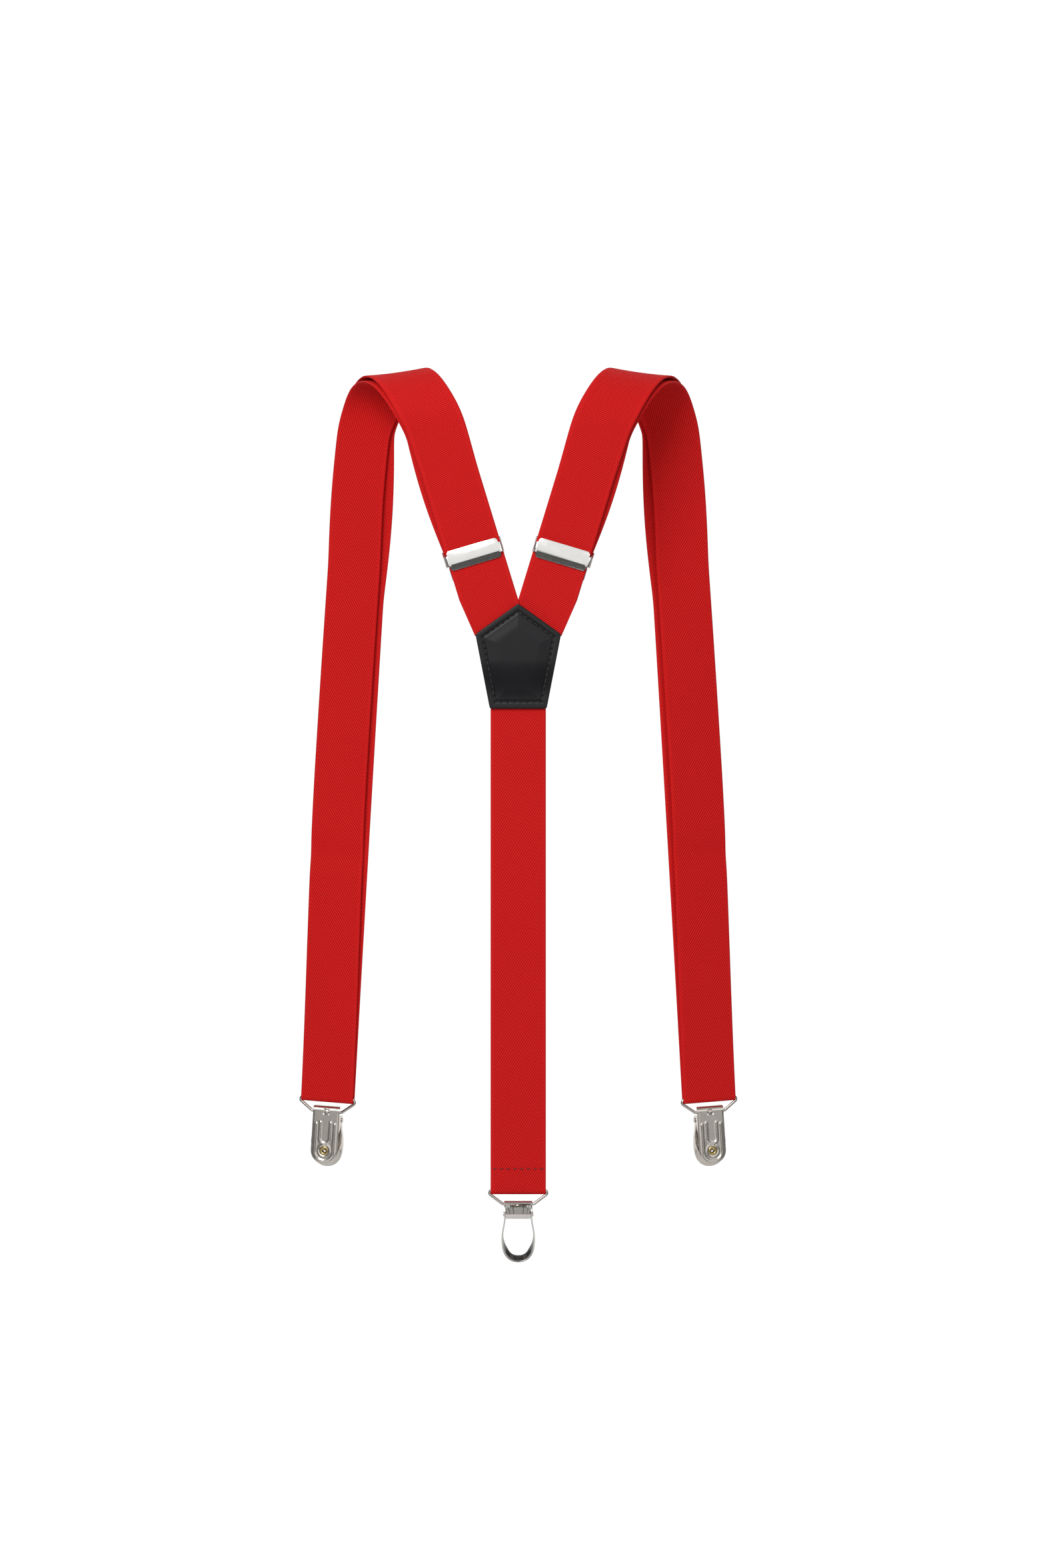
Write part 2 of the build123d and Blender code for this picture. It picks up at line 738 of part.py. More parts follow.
with BuildPart() as adjuster_frame:
    # face: a flat band with a bevelled lower edge
    with BuildSketch(Plane.YZ):
        Polygon(
            (face_front, face_top),
            (face_front, bevel_top),
            (face_front + bevel_depth / 2, -face_top),
            (face_front + bevel_depth / 2 + sheet, -face_top),
            (face_front + sheet, bevel_top),
            (face_front + sheet, face_top),
            align=None,
        )
    extrude(amount=face_length / 2, both=True)
    with BuildSketch(Plane.XZ.offset(-cut_reach)):
        chamfer(Rectangle(face_length, 2 * face_top).vertices(), face_corner)
    extrude(amount=2 * cut_reach, mode=Mode.INTERSECT)
    # side loops round the webbing's edges, then cheeks that carry the bar and the hinge
    for way in (-1, 1):
        with BuildSketch(Plane.XY.offset(-cheek_height / 2)):
            with BuildLine():
                Line((way * (face_length / 2 - 1), face_front), (way * (face_length / 2), face_front))
                ThreePointArc(
                    (way * (face_length / 2), face_front),
                    (way * (cheek_x - 0.55), face_front + 0.9),
                    (way * cheek_x, face_front + cheek_bend),
                )
                Line((way * cheek_x, face_front + cheek_bend), (way * cheek_x, bar_y))
                Line((way * cheek_x, bar_y), (way * cheek_inner, bar_y))
                Line((way * cheek_inner, bar_y), (way * cheek_inner, face_front + cheek_bend))
                ThreePointArc(
                    (way * cheek_inner, face_front + cheek_bend),
                    (way * (cheek_inner - 0.4), face_front + 1.4),
                    (way * (face_length / 2), face_front + sheet),
                )
                Line((way * (face_length / 2), face_front + sheet),
                     (way * (face_length / 2 - 1), face_front + sheet))
                Line((way * (face_length / 2 - 1), face_front + sheet),
                     (way * (face_length / 2 - 1), face_front))
            make_face()
        extrude(amount=cheek_height)
        with BuildSketch(Plane.YZ.offset(cheek_inner if way > 0 else -cheek_x)):
            Polygon(
                (0.0, -cheek_height / 2),
                (0.0, cheek_height / 2),
                (bar_y - cheek_boss, bar_z + cheek_boss),
                (bar_y + cheek_boss, bar_z + cheek_boss),
                (bar_y + cheek_boss, bar_z - cheek_boss),
                (hinge_y + hinge_boss, hinge_z - hinge_boss),
                (hinge_y - hinge_boss / 2, hinge_z - hinge_boss),
                align=None,
            )
        extrude(amount=cheek_sheet)
    for y, z, radius in ((bar_y, bar_z, bar_radius), (hinge_y, hinge_z, hinge_radius)):
        with BuildSketch(Plane.YZ.offset(-cheek_x - 1)):
            with Locations((y, z)):
                Circle(radius)
        extrude(amount=2 * cheek_x + 2, mode=Mode.SUBTRACT)


def cross_pin(y, z, radius):
    """A round bar right across the adjuster, flush with the outsides of its cheeks."""
    with BuildPart() as pin:
        with BuildSketch(Plane.YZ.offset(-cheek_x)):
            with Locations((y, z)):
                Circle(radius)
        extrude(amount=2 * cheek_x)
    return pin.part


with BuildPart() as adjuster_lever:
    # barrel on the hinge pin, with the flap hanging from it
    with BuildSketch(Plane.YZ):
        with Locations((hinge_y, hinge_z)):
            Circle(hinge_radius + 0.9)
        Polygon(
            (hinge_y - 0.2, hinge_z),
            (hinge_y - 0.2, hinge_z - adjuster_lever_length),
            (hinge_y + 0.6, hinge_z - adjuster_lever_length - 0.6),
            (hinge_y + 1.4, hinge_z - adjuster_lever_length),
            (hinge_y + 0.7, hinge_z - adjuster_lever_length + 0.8),
            (hinge_y + 0.6, hinge_z),
            align=None,
        )
    extrude(amount=adjuster_lever_half_width, both=True)
    # teeth that bite the webbing
    tooth_count = int(2 * adjuster_lever_half_width / tooth_pitch) - 1
    for index in range(tooth_count):
        tooth_x = (index - (tooth_count - 1) / 2) * tooth_pitch
        with BuildSketch(Plane.YZ.offset(tooth_x - 0.4)):
            Polygon(
                (hinge_y - 0.9, hinge_z + 0.6),
                (webbing_thickness / 2 + 0.3, hinge_z - 1.2),
                (hinge_y - 0.9, hinge_z - 1.3),
                align=None,
            )
        extrude(amount=0.8)
    with BuildSketch(Plane.YZ.offset(-cheek_x)):
        with Locations((hinge_y, hinge_z)):
            Circle(hinge_radius + pivot_clearance)
    extrude(amount=2 * cheek_x, mode=Mode.SUBTRACT)

for side, name in side_names.items():
    spring = fold_point(side, 0)
    foot = yoke_point(side, yoke_bottom_z)
    foot = Vector(foot.X, patch_layer_y[side], foot.Z)
    up = (spring - foot).normalized()
    share = (adjuster_z - foot.Z) / (spring.Z - foot.Z)
    place = section_plane(foot + (spring - foot) * share, up, Vector(1, 0, 0)).location
    save(adjuster_frame.part.moved(place), f"{name}_adjuster_frame")
    save(cross_pin(bar_y, bar_z, bar_radius).moved(place), f"{name}_adjuster_bar")
    save(cross_pin(hinge_y, hinge_z, hinge_radius).moved(place), f"{name}_adjuster_hinge_pin")
    save(adjuster_lever.part.moved(place), f"{name}_adjuster_lever")
    end_length = (near_end_z - adjuster_z) / up.Z - bar_z - 0.4
    end_place = place * Pos(side * end_shift, bar_y, bar_z)
    save(sewn_end(end_length, end_tail).moved(end_place), f"{name}_return_end")
    row = stitch_row(
        Vector(-webbing_width / 2 + row_margin, bar_z + end_stitch_height, 0),
        Vector(webbing_width / 2 - row_margin, bar_z + end_stitch_height, 0),
        back_stitch_count,
    )
    tail_face = bar_y - loop_outer + 2 * webbing_thickness + layer_gap
    threads = stitching(row, tail_face + 2 * (thread_radius + thread_gap))
    save(threads.moved(place), f"{name}_adjuster_stitching")
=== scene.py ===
import json
import math

import bmesh
import bpy
import numpy as np
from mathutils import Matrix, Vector


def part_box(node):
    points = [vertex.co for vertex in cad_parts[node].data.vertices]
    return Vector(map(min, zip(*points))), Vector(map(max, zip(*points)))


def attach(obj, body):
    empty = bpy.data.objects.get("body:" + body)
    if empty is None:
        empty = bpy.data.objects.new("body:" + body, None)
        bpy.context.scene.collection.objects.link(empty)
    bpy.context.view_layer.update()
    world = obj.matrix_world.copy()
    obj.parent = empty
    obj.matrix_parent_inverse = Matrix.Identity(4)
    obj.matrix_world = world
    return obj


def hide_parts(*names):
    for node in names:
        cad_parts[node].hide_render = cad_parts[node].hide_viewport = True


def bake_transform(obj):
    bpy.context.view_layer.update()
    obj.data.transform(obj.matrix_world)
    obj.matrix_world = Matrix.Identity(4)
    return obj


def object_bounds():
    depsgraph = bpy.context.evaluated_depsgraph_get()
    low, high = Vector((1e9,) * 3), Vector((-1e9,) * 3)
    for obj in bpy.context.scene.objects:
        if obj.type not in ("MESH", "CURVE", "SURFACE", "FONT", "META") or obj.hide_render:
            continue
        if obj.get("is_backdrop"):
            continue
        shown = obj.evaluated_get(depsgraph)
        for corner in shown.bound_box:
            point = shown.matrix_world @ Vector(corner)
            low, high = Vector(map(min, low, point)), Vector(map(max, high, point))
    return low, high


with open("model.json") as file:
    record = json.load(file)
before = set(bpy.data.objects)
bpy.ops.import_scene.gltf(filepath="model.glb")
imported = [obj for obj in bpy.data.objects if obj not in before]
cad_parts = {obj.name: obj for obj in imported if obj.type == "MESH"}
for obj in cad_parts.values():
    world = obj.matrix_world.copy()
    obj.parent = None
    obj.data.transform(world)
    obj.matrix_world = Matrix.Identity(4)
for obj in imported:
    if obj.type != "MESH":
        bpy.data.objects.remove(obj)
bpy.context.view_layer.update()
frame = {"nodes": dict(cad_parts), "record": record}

MM = 0.001
nodes = frame["nodes"]

# ---- webbing, in millimetres ----
WIDTH = 35.0
THICK = 1.5
SPACING = 3.66  # from the outer run's middle to the inner run's
SHIFT = 2.6  # the inner run lies this far outwards
YOKE_WIDTH = 35.8
OVER_SHOULDER_WIDTH = 37.2
SELVEDGE = 2.1
STEP = 1.5
ACROSS = 30  # faces across a strip
ROUNDS = 14  # smoothing of a route

# ---- the straps' route over the shoulders, as the CAD has it ----
FOLD_RADIUS = 34.0
FOLD_STEP = 3  # degrees
FOLD_TOP = SPACING + THICK / 2
FOLD_Z = FOLD_TOP - FOLD_RADIUS
BACK_X = 53.0
FRONT_X = 97.4
SWELL = 3.4
SLOPE = math.radians(8)
YAW = math.radians(13)
YOKE_LEAN = math.radians(16.6)
YOKE_FOOT_Z = -177.0
FRONT_TOP = (99.8, 34.17, -80.0)
RING = (123.5, 38.0, -462.0)  # upper bar of the right front ring
BACK_Y = -34.4
BACK_RING_Z = -515.6
BACK_TOP_Z = -180.0
YOKE_DEPTH = {-1: 3.7, 1: 1.6}  # how far each yoke lies outside the back strap
LOOP = 1.83  # radius of the webbing's middle round a bar
RING_HEIGHT = 8.6
CREASE = (2.1, 0.363, 0.011)  # depth, place and half width, as shares of the front run
SIDES = {"left": -1, "right": 1}

# ---- twill ribs: the pitch across the strip and the slope from it ----
RIB_PITCH = 1.6
RIB_FRONT = math.radians(57)
RIB_YOKE = math.radians(46)

# ---- sewn ends ----
TAIL_GAP = 1.55  # middle of the strip to the middle of its tail
END_TAIL, BACK_TAIL = 16, 21
STITCH_COUNT = 8
STITCH_LENGTH, PATCH_STITCH_LENGTH = 2.8, 2.9
END_SEAM = (11.0, 31.0, 0.28)  # height over the bar, length, thread radius
BACK_SEAM = (13.8, 34.0, 0.3)

# ---- clips, in their own axes from the ring's lower bar ----
CLIP_HALF = 8.9
CLIP_FOOT = -25.2
CLIP_SHEET = 0.8
CLIP_COLUMNS = 91
EYELET_Z = -25.4
PIVOT = -5.4  # the pin, as both y and z
BACK_CLIP_TURN = math.radians(72)
JAW_TURN = math.radians(-72)
JAW_REACH = 5.75


def arr(*values):
    return np.array(values, float)


def unit(v):
    return v / np.linalg.norm(v)


def smooth(points, rounds):
    """Evens out a polyline of points, and leaves its two ends in place."""
    p = np.array(points, float)
    for _ in range(rounds):
        p[1:-1] = p[1:-1] * 0.5 + (p[:-2] + p[2:]) * 0.25
    return p


def resample(points, step):
    """Points evenly spaced along a polyline."""
    seg = np.linalg.norm(np.diff(points, axis=0), axis=1)
    at = np.concatenate([[0], np.cumsum(seg)])
    count = max(2, int(round(at[-1] / step)) + 1)
    where = np.linspace(0, at[-1], count)
    return np.stack([np.interp(where, at, points[:, k]) for k in range(points.shape[1])], 1)


# ------------------------------------------------------------------ webbing meshes


def ribbon(name, centres, across, widths, rib_angle, mirrored, cut=None):
    """A strip of webbing: centres in millimetres, the direction across it, its width at each
    centre. The second UV runs along the strip in rib pitches, so the ribs keep their angle."""
    centres = np.array(centres, float)
    n = len(centres)
    tangent = np.gradient(centres, axis=0)
    tangent /= np.linalg.norm(tangent, axis=1)[:, None]
    w = np.array(across, float)
    w -= (w * tangent).sum(1)[:, None] * tangent
    w /= np.linalg.norm(w, axis=1)[:, None]
    normal = np.cross(w, tangent)
    step = np.linalg.norm(np.diff(centres, axis=0), axis=1)
    rib = np.tan(np.broadcast_to(rib_angle, (n,)))
    along = np.concatenate([[0], np.cumsum(step / ((rib[1:] + rib[:-1]) / 2))])
    share = np.linspace(-1, 1, ACROSS + 1)
    share = np.sign(share) * (1 - (1 - np.abs(share)) ** 1.25)  # closer together at the edges
    verts, uvs = [], []
    for face in (1, -1):
        for i in range(n):
            half = widths[i] / 2
            for s in share:
                edge = max(0.0, 1 - (1 - abs(s)) * half / 0.75)
                swell = 0.5 * THICK * math.sqrt(max(0.0, 1 - edge * edge))
                ribbed = 0.06 if (1 - abs(s)) * half > 2.0 else 0.0  # the ribs stand over the edges
                depth = max(0.02, swell - 0.06 + ribbed)
                point = centres[i] + w[i] * s * half + normal[i] * face * depth
                verts.append(cut(point) if cut else point)
                uvs.append((s * half * (-1 if mirrored else 1), along[i]))
    verts = np.array(verts) * MM
    row = ACROSS + 1
    faces = []
    block = n * row
    for i in range(n - 1):
        for j in range(ACROSS):
            a = i * row + j
            faces.append((a, a + 1, a + row + 1, a + row))
            b = a + block
            faces.append((b, b + row, b + row + 1, b + 1))
        left, right = i * row, i * row + ACROSS
        faces.append((left, left + row, left + row + block, left + block))
        faces.append((right, right + block, right + row + block, right + row))
    for j in range(ACROSS):
        a = j
        faces.append((a, a + block, a + 1 + block, a + 1))
        c = (n - 1) * row + j
        faces.append((c, c + 1, c + 1 + block, c + block))
    mesh = bpy.data.meshes.new(name)
    mesh.from_pydata([tuple(v) for v in verts], [], faces)
    layer = mesh.uv_layers.new(name="webbing")
    index = np.zeros(len(mesh.loops), np.int32)
    mesh.loops.foreach_get("vertex_index", index)
    layer.data.foreach_set("uv", (np.array(uvs, np.float32)[index] / RIB_PITCH).ravel())
    mesh.polygons.foreach_set("use_smooth", np.ones(len(mesh.polygons), bool))
    mesh.update()
    bm = bmesh.new()
    bm.from_mesh(mesh)
    bmesh.ops.recalc_face_normals(bm, faces=bm.faces)
    bm.to_mesh(mesh)
    bm.free()
    piece = bpy.data.objects.new(name, mesh)
    bpy.context.scene.collection.objects.link(piece)
    return piece, float(np.sum(step))


def fold_point(side, angle, inward=0.0):
    share = angle / 180
    x = BACK_X + (FRONT_X - BACK_X) * share + SWELL * math.sin(math.radians(angle))
    radius = FOLD_RADIUS - inward
    turn = math.radians(angle)
    return arr(side * x, -radius * math.cos(turn), FOLD_Z + radius * math.sin(turn))


def yoke_foot(side, z, y):
    return arr(side * (BACK_X - (FOLD_Z - z) * math.tan(YOKE_LEAN)), y, z)


def ring_centre(side):
    return arr(side * RING[0], RING[1], RING[2])


def front_axes(side):
    """Across, towards the chest's outside, and up the front strap, as the CAD has them."""
    top = arr(side * FRONT_TOP[0], FRONT_TOP[1], FRONT_TOP[2])
    up = unit(top - ring_centre(side))
    level = arr(math.cos(YAW), side * math.sin(YAW), 0)
    across = unit(level - up * level.dot(up))
    return across, np.cross(up, across), up


def eased(x, low, high):
    t = min(1.0, max(0.0, (x - low) / (high - low)))
    return t * t * (3 - 2 * t)


def side_route(side):
    """Stations of one side's webbing: up the yoke, over the shoulder, down the front, round the
    ring, and back up under itself. Each is centre, across, width and rib angle."""
    across, out, up = front_axes(side)
    level = arr(1, 0, 0)
    patch_y = BACK_Y - YOKE_DEPTH[side]
    rows = []

    def add(point, direction, width, rib):
        rows.append(np.concatenate([point, direction, [width, rib]]))

    def across_at(angle):
        fall = math.tan(SLOPE) * math.sin(math.radians(angle))
        yaw = YAW * max(0.0, (angle - 90) / 90)
        return arr(math.cos(yaw), side * math.sin(yaw), -side * fall)

    foot = yoke_foot(side, YOKE_FOOT_Z, patch_y) - arr(side * 1.1, 0, 0)
    spring = fold_point(side, 0)
    for t in np.linspace(0, 1, 60, endpoint=False):
        width = YOKE_WIDTH + (OVER_SHOULDER_WIDTH - YOKE_WIDTH) * eased(t, 0.74, 0.98)
        add(foot + (spring - foot) * t, level, width, RIB_YOKE)
    for angle in range(0, 181, FOLD_STEP):
        width = OVER_SHOULDER_WIDTH + (WIDTH - OVER_SHOULDER_WIDTH) * eased(angle, 60, 180)
        rib = RIB_YOKE + (RIB_FRONT - RIB_YOKE) * eased(angle, 40, 180)
        add(fold_point(side, angle), across_at(angle), width, rib)
    top, bar = fold_point(side, 180), ring_centre(side) + out * LOOP
    for t in np.linspace(0, 1, 120)[1:]:
        turned = across_at(180) + (across - across_at(180)) * eased(t, 0, 0.4)
        sway = side * (0.4 * math.sin(math.pi * t) - 2.4 * math.sin(math.pi * min(1, t * 4)))
        add(top + (bar - top) * t + arr(sway, 0, 0), turned, WIDTH, RIB_FRONT)
    outer = smooth_rows(rows, ROUNDS)
    rows = []
    for angle in range(10, 171, 8):
        turn = math.radians(angle)
        point = ring_centre(side) + out * LOOP * math.cos(turn) - up * LOOP * math.sin(turn)
        add(point, across, WIDTH, RIB_FRONT)
    loop = np.array(rows)
    rows = []
    bar, top = ring_centre(side) - out * LOOP, fold_point(side, 180, SPACING)
    depth, place, half = CREASE
    for t in np.linspace(0, 1, 120)[:-1]:
        turned = across + (across_at(180) - across) * eased(t, 0.6, 1)
        sway = side * (1.5 * math.sin(math.pi * t) + 1.1 * math.sin(math.pi * min(1, (1 - t) * 5)))
        crease = depth * math.exp(-((t - place) / half) ** 2)
        shift = side * SHIFT * eased(t, 0.0, 0.5)
        point = bar + (top - bar) * t + arr(sway, 0, 0) + across * shift + out * crease
        add(point, turned, WIDTH, RIB_FRONT)
    for angle in range(180, -1, -FOLD_STEP):
        rib = RIB_YOKE + (RIB_FRONT - RIB_YOKE) * eased(angle, 40, 180)
        point = fold_point(side, angle, SPACING) + arr(side * SHIFT, 0, 0)
        add(point, across_at(angle), WIDTH, rib)
    near = yoke_foot(side, FOLD_Z - 7, -FOLD_RADIUS + SPACING) + arr(side * SHIFT, 0, 0)
    add(near, level, WIDTH, RIB_YOKE)
    inner = smooth_rows(rows, ROUNDS)
    return np.concatenate([resample(outer, STEP), loop, resample(inner, STEP)]), near


def smooth_rows(rows, rounds):
    """Evens out the route's centres and directions, and keeps its ends."""
    rows = resample(np.array(rows), 2.0)
    rows[:, :6] = smooth(rows[:, :6], rounds)
    return rows


def sewn_route(top, bar, across, out, up, tail, rib, bow=0.0):
    """Stations down to a bar, round it away from the viewer, and up a sewn tail."""
    rows = []

    def add(point):
        rows.append(np.concatenate([point, across, [WIDTH, rib]]))

    start = bar - out * LOOP
    for t in np.linspace(0, 1, max(8, int(np.linalg.norm(top - start) / STEP))):
        add(top + (start - top) * t + across * bow * math.sin(math.pi * t))
    for angle in range(12, 180, 12):
        turn = math.radians(angle)
        add(bar - out * LOOP * math.cos(turn) - up * LOOP * math.sin(turn))
    for h in np.arange(0.0, tail, 1.0):
        gap = LOOP + (TAIL_GAP - 2 * LOOP) * eased(h, 0, 8)
        add(bar + out * gap + up * h)
    return np.array(rows)


def make_webbing(name, rows, mirrored, cut=None):
    return ribbon(name, rows[:, :3], rows[:, 3:6], rows[:, 6], rows[:, 7], mirrored, cut)


def under_patch(point):
    """Draws a yoke's outer edge in, so that its foot ends under the crosspatch."""
    x, y, z = point
    if y > -20 or z > -140:
        return point
    below = z + 165  # the patch's widest level
    limit = 27.3 + 0.44 * below if below > 0 else 24.6 + 0.185 * below
    return arr(max(-limit, min(limit, x)), y, z)


# ------------------------------------------------------------------ stitches


def stitches(name, places, length, radius):
    """Threads of a seam: each one rises out of its hole, arches over and dives again."""
    rings, spokes = 9, 8
    verts, faces = [], []
    for centre, along, normal in places:
        along, normal = unit(along), unit(normal)
        side = np.cross(along, normal)
        base = len(verts)
        for i in range(rings):
            t = i / (rings - 1) * 2 - 1
            lift = radius * (1.0 - 2.6 * t ** 4)
            thick = radius * (1 - 0.25 * t * t)
            for k in range(spokes):
                a = 2 * math.pi * k / spokes
                ridge = 1 + 0.12 * math.sin(3 * a + 9 * t)
                offset = (side * math.cos(a) * 1.2 + normal * math.sin(a)) * thick * ridge
                verts.append(centre + along * t * length / 2 + normal * lift + offset)
        for i in range(rings - 1):
            for k in range(spokes):
                a, b = base + i * spokes + k, base + i * spokes + (k + 1) % spokes
                faces.append((a, b, b + spokes, a + spokes))
        faces.append(tuple(base + k for k in reversed(range(spokes))))
        faces.append(tuple(base + (rings - 1) * spokes + k for k in range(spokes)))
    mesh = bpy.data.meshes.new(name)
    mesh.from_pydata([tuple(np.array(v) * MM) for v in verts], [], faces)
    mesh.polygons.foreach_set("use_smooth", np.ones(len(mesh.polygons), bool))
    piece = bpy.data.objects.new(name, mesh)
    bpy.context.scene.collection.objects.link(piece)
    return piece


def stitch_row(length):
    """Where the stitches of a straight seam lie along it, from its middle."""
    return [(i + 0.5) / STITCH_COUNT * length - length / 2 for i in range(STITCH_COUNT)]


# ------------------------------------------------------------------ crosspatch

PATCH_CORNERS = [(0, -144.4), (27.1, -163.8), (18.0, -210.8), (-18.0, -210.8), (-27.1, -163.8)]
PATCH_CENTRE = (0.0, -180.0)
PATCH_STITCH = 4.2  # inset of the seam
PATCH_PITCH = 3.95
PATCH_CORNER_SHARPNESS = 60
PATCH_SPOKES = 640


def patch_edges():
    """Outward normal angle and distance from the centre, for each side of the pentagon."""
    sides = []
    for (x0, z0), (x1, z1) in zip(PATCH_CORNERS, PATCH_CORNERS[1:] + PATCH_CORNERS[:1]):
        nx, nz = z1 - z0, -(x1 - x0)
        length = math.hypot(nx, nz)
        nx, nz = nx / length, nz / length
        far = (x0 - PATCH_CENTRE[0]) * nx + (z0 - PATCH_CENTRE[1]) * nz
        if far < 0:
            nx, nz, far = -nx, -nz, -far
        sides.append((nx, nz, far))
    return sides


def patch_radius(angle, inset, sides):
    """Distance from the centre to the inset outline, with the corners rounded."""
    total = 0.0
    for nx, nz, far in sides:
        facing = nx * math.cos(angle) + nz * math.sin(angle)
        if facing > 0.01:
            total += ((far - inset) / facing) ** -PATCH_CORNER_SHARPNESS
    return total ** (-1 / PATCH_CORNER_SHARPNESS)


def stitch_points():
    """Middle, direction and pitch of each stitch round the crosspatch."""
    sides = patch_edges()
    inner = []
    for a, b in zip(sides, sides[1:] + sides[:1]):
        m = np.array([[a[0], a[1]], [b[0], b[1]]])
        inner.append(np.linalg.solve(m, [a[2] - PATCH_STITCH, b[2] - PATCH_STITCH]))
    inner = [inner[-1]] + inner[:-1]
    out = []
    for p, q in zip(inner, inner[1:] + inner[:1]):
        length = np.linalg.norm(q - p)
        count = round(length / PATCH_PITCH)
        for i in range(count):
            middle = p + (q - p) * (i + 0.5) / count + np.array(PATCH_CENTRE)
            out.append((middle, (q - p) / length, length / count))
    return out


def front_sag(z):
    """The leather leaves the yokes' ends and settles on the single back strap lower down."""
    return 3.1 * eased(-z, 180, 203)


def backing_sag(z):
    """The backing bows away from the yokes' ends, above the back strap's."""
    return -1.35 * (1 - eased(-z, 170, 188))


def crosspatch_piece(name, front_y, thickness, sag, facing=1, trim=0.0):
    """A pentagon of leather with a rolled rim, a stitched groove and a raised middle."""
    sides = patch_edges()
    seam = stitch_points()
    centres = np.array([s[0] for s in seam])
    ways = np.array([s[1] for s in seam])
    pitches = np.array([s[2] for s in seam])
    spokes = PATCH_SPOKES
    rings = []
    for inset in [0.0, 0.0, 0.12, 0.3, 0.55, 0.85, *np.arange(1.2, 7.0, 0.24)]:
        angles = [2 * math.pi * i / spokes for i in range(spokes)]
        rings.append([patch_radius(angle, inset + trim, sides) for angle in angles])
    last = rings[-1]
    for share in np.linspace(0.94, 0.04, 22):
        rings.append([r * share for r in last])
    verts, faces, border = [], [], []
    for k, ring in enumerate(rings):
        for i, r in enumerate(ring):
            a = 2 * math.pi * i / spokes
            x, z = PATCH_CENTRE[0] + r * math.cos(a), PATCH_CENTRE[1] + r * math.sin(a)
            depth = min(far - ((x - PATCH_CENTRE[0]) * nx + (z - PATCH_CENTRE[1]) * nz)
                        for nx, nz, far in sides)
            depth -= trim
            rolled = 0.75 * (1 - math.sqrt(max(0.0, 1 - (1 - min(1, depth / 0.9)) ** 2)))
            crown = 0.55 * eased(depth, PATCH_STITCH + 0.4, 13)
            groove = 0.34 * math.exp(-(((depth - PATCH_STITCH) / 0.85) ** 2))
            delta = np.array([x, z]) - centres
            along = np.abs((delta * ways).sum(1))
            cross = np.abs(delta[:, 0] * ways[:, 1] - delta[:, 1] * ways[:, 0])
            hole = np.hypot(along - pitches / 2, cross).min()
            pit = 0.42 * math.exp(-((hole / 0.5) ** 2))
            y = front_y - crown + rolled + groove + pit
            if k == 0:
                y = front_y + thickness
            y = front_y + (y - front_y) * facing
            verts.append((x * MM, (y + sag(z)) * MM, z * MM))
            border.append(depth)
    for k in range(len(rings) - 1):
        for i in range(spokes):
            a, b = k * spokes + i, k * spokes + (i + 1) % spokes
            faces.append((a, b, b + spokes, a + spokes))
    faces.append(tuple(reversed(range(spokes))))
    faces.append(tuple(range((len(rings) - 1) * spokes, len(rings) * spokes)))
    mesh = bpy.data.meshes.new(name)
    mesh.from_pydata(verts, [], faces)
    mesh.polygons.foreach_set("use_smooth", np.ones(len(mesh.polygons), bool))
    attribute = mesh.attributes.new("border", "FLOAT", "POINT")
    attribute.data.foreach_set("value", np.array(border, np.float32))
    bm = bmesh.new()
    bm.from_mesh(mesh)
    bmesh.ops.recalc_face_normals(bm, faces=bm.faces)
    for edge in bm.edges:
        edge.smooth = edge.calc_face_angle(0) < 1.0
    bm.to_mesh(mesh)
    bm.free()
    piece = bpy.data.objects.new(name, mesh)
    bpy.context.scene.collection.objects.link(piece)
    return piece


# ------------------------------------------------------------------ materials


class Graph:
    """A short way to write a node material."""

    def __init__(self, name):
        self.material = bpy.data.materials.new(name)
        self.material.use_nodes = True
        self.tree = self.material.node_tree
        self.shader = self.tree.nodes["Principled BSDF"]

    def node(self, kind, **inputs):
        node = self.tree.nodes.new(kind)
        for key, value in inputs.items():
            if hasattr(node, key):
                setattr(node, key, value)
            else:
                self.put(node.inputs[key.replace("_", " ")], value)
        return node

    def put(self, socket, value):
        if isinstance(value, bpy.types.NodeSocket):
            self.tree.links.new(value, socket)
        else:
            socket.default_value = value

    def math(self, operation, a, b=0.0, c=0.0):
        node = self.tree.nodes.new("ShaderNodeMath")
        node.operation = operation
        for socket, value in zip(node.inputs, (a, b, c)):
            self.put(socket, value)
        return node.outputs[0]

    def ramp(self, value, stops):
        node = self.tree.nodes.new("ShaderNodeValToRGB")
        self.put(node.inputs[0], value)
        while len(node.color_ramp.elements) < len(stops):
            node.color_ramp.elements.new(0.5)
        for element, (at, colour) in zip(node.color_ramp.elements, stops):
            element.position = at
            element.color = (*colour, 1)
        return node.outputs[0]

    def mix(self, share, a, b):
        node = self.tree.nodes.new("ShaderNodeMix")
        node.data_type = "RGBA"
        self.put(node.inputs[0], share)
        self.put(node.inputs[6], a if isinstance(a, bpy.types.NodeSocket) else (*a, 1))
        self.put(node.inputs[7], b if isinstance(b, bpy.types.NodeSocket) else (*b, 1))
        return node.outputs[2]

    def noise(self, scale, detail=3.0, vector=None, rough=0.5):
        node = self.tree.nodes.new("ShaderNodeTexNoise")
        node.inputs["Scale"].default_value = scale
        node.inputs["Detail"].default_value = detail
        node.inputs["Roughness"].default_value = rough
        self.put(node.inputs["Vector"], vector or self.place())
        return node.outputs[0]

    def place(self):
        return self.node("ShaderNodeTexCoord").outputs["Object"]

    def bump(self, height, distance, strength):
        node = self.tree.nodes.new("ShaderNodeBump")
        node.inputs["Distance"].default_value = distance
        node.inputs["Strength"].default_value = strength
        self.put(node.inputs["Height"], height)
        return node.outputs[0]

    def set(self, **values):
        for key, value in values.items():
            name = key.replace("_", " ")
            if isinstance(value, tuple):
                value = (*value, 1)
            self.put(self.shader.inputs[name], value)
        return self.material


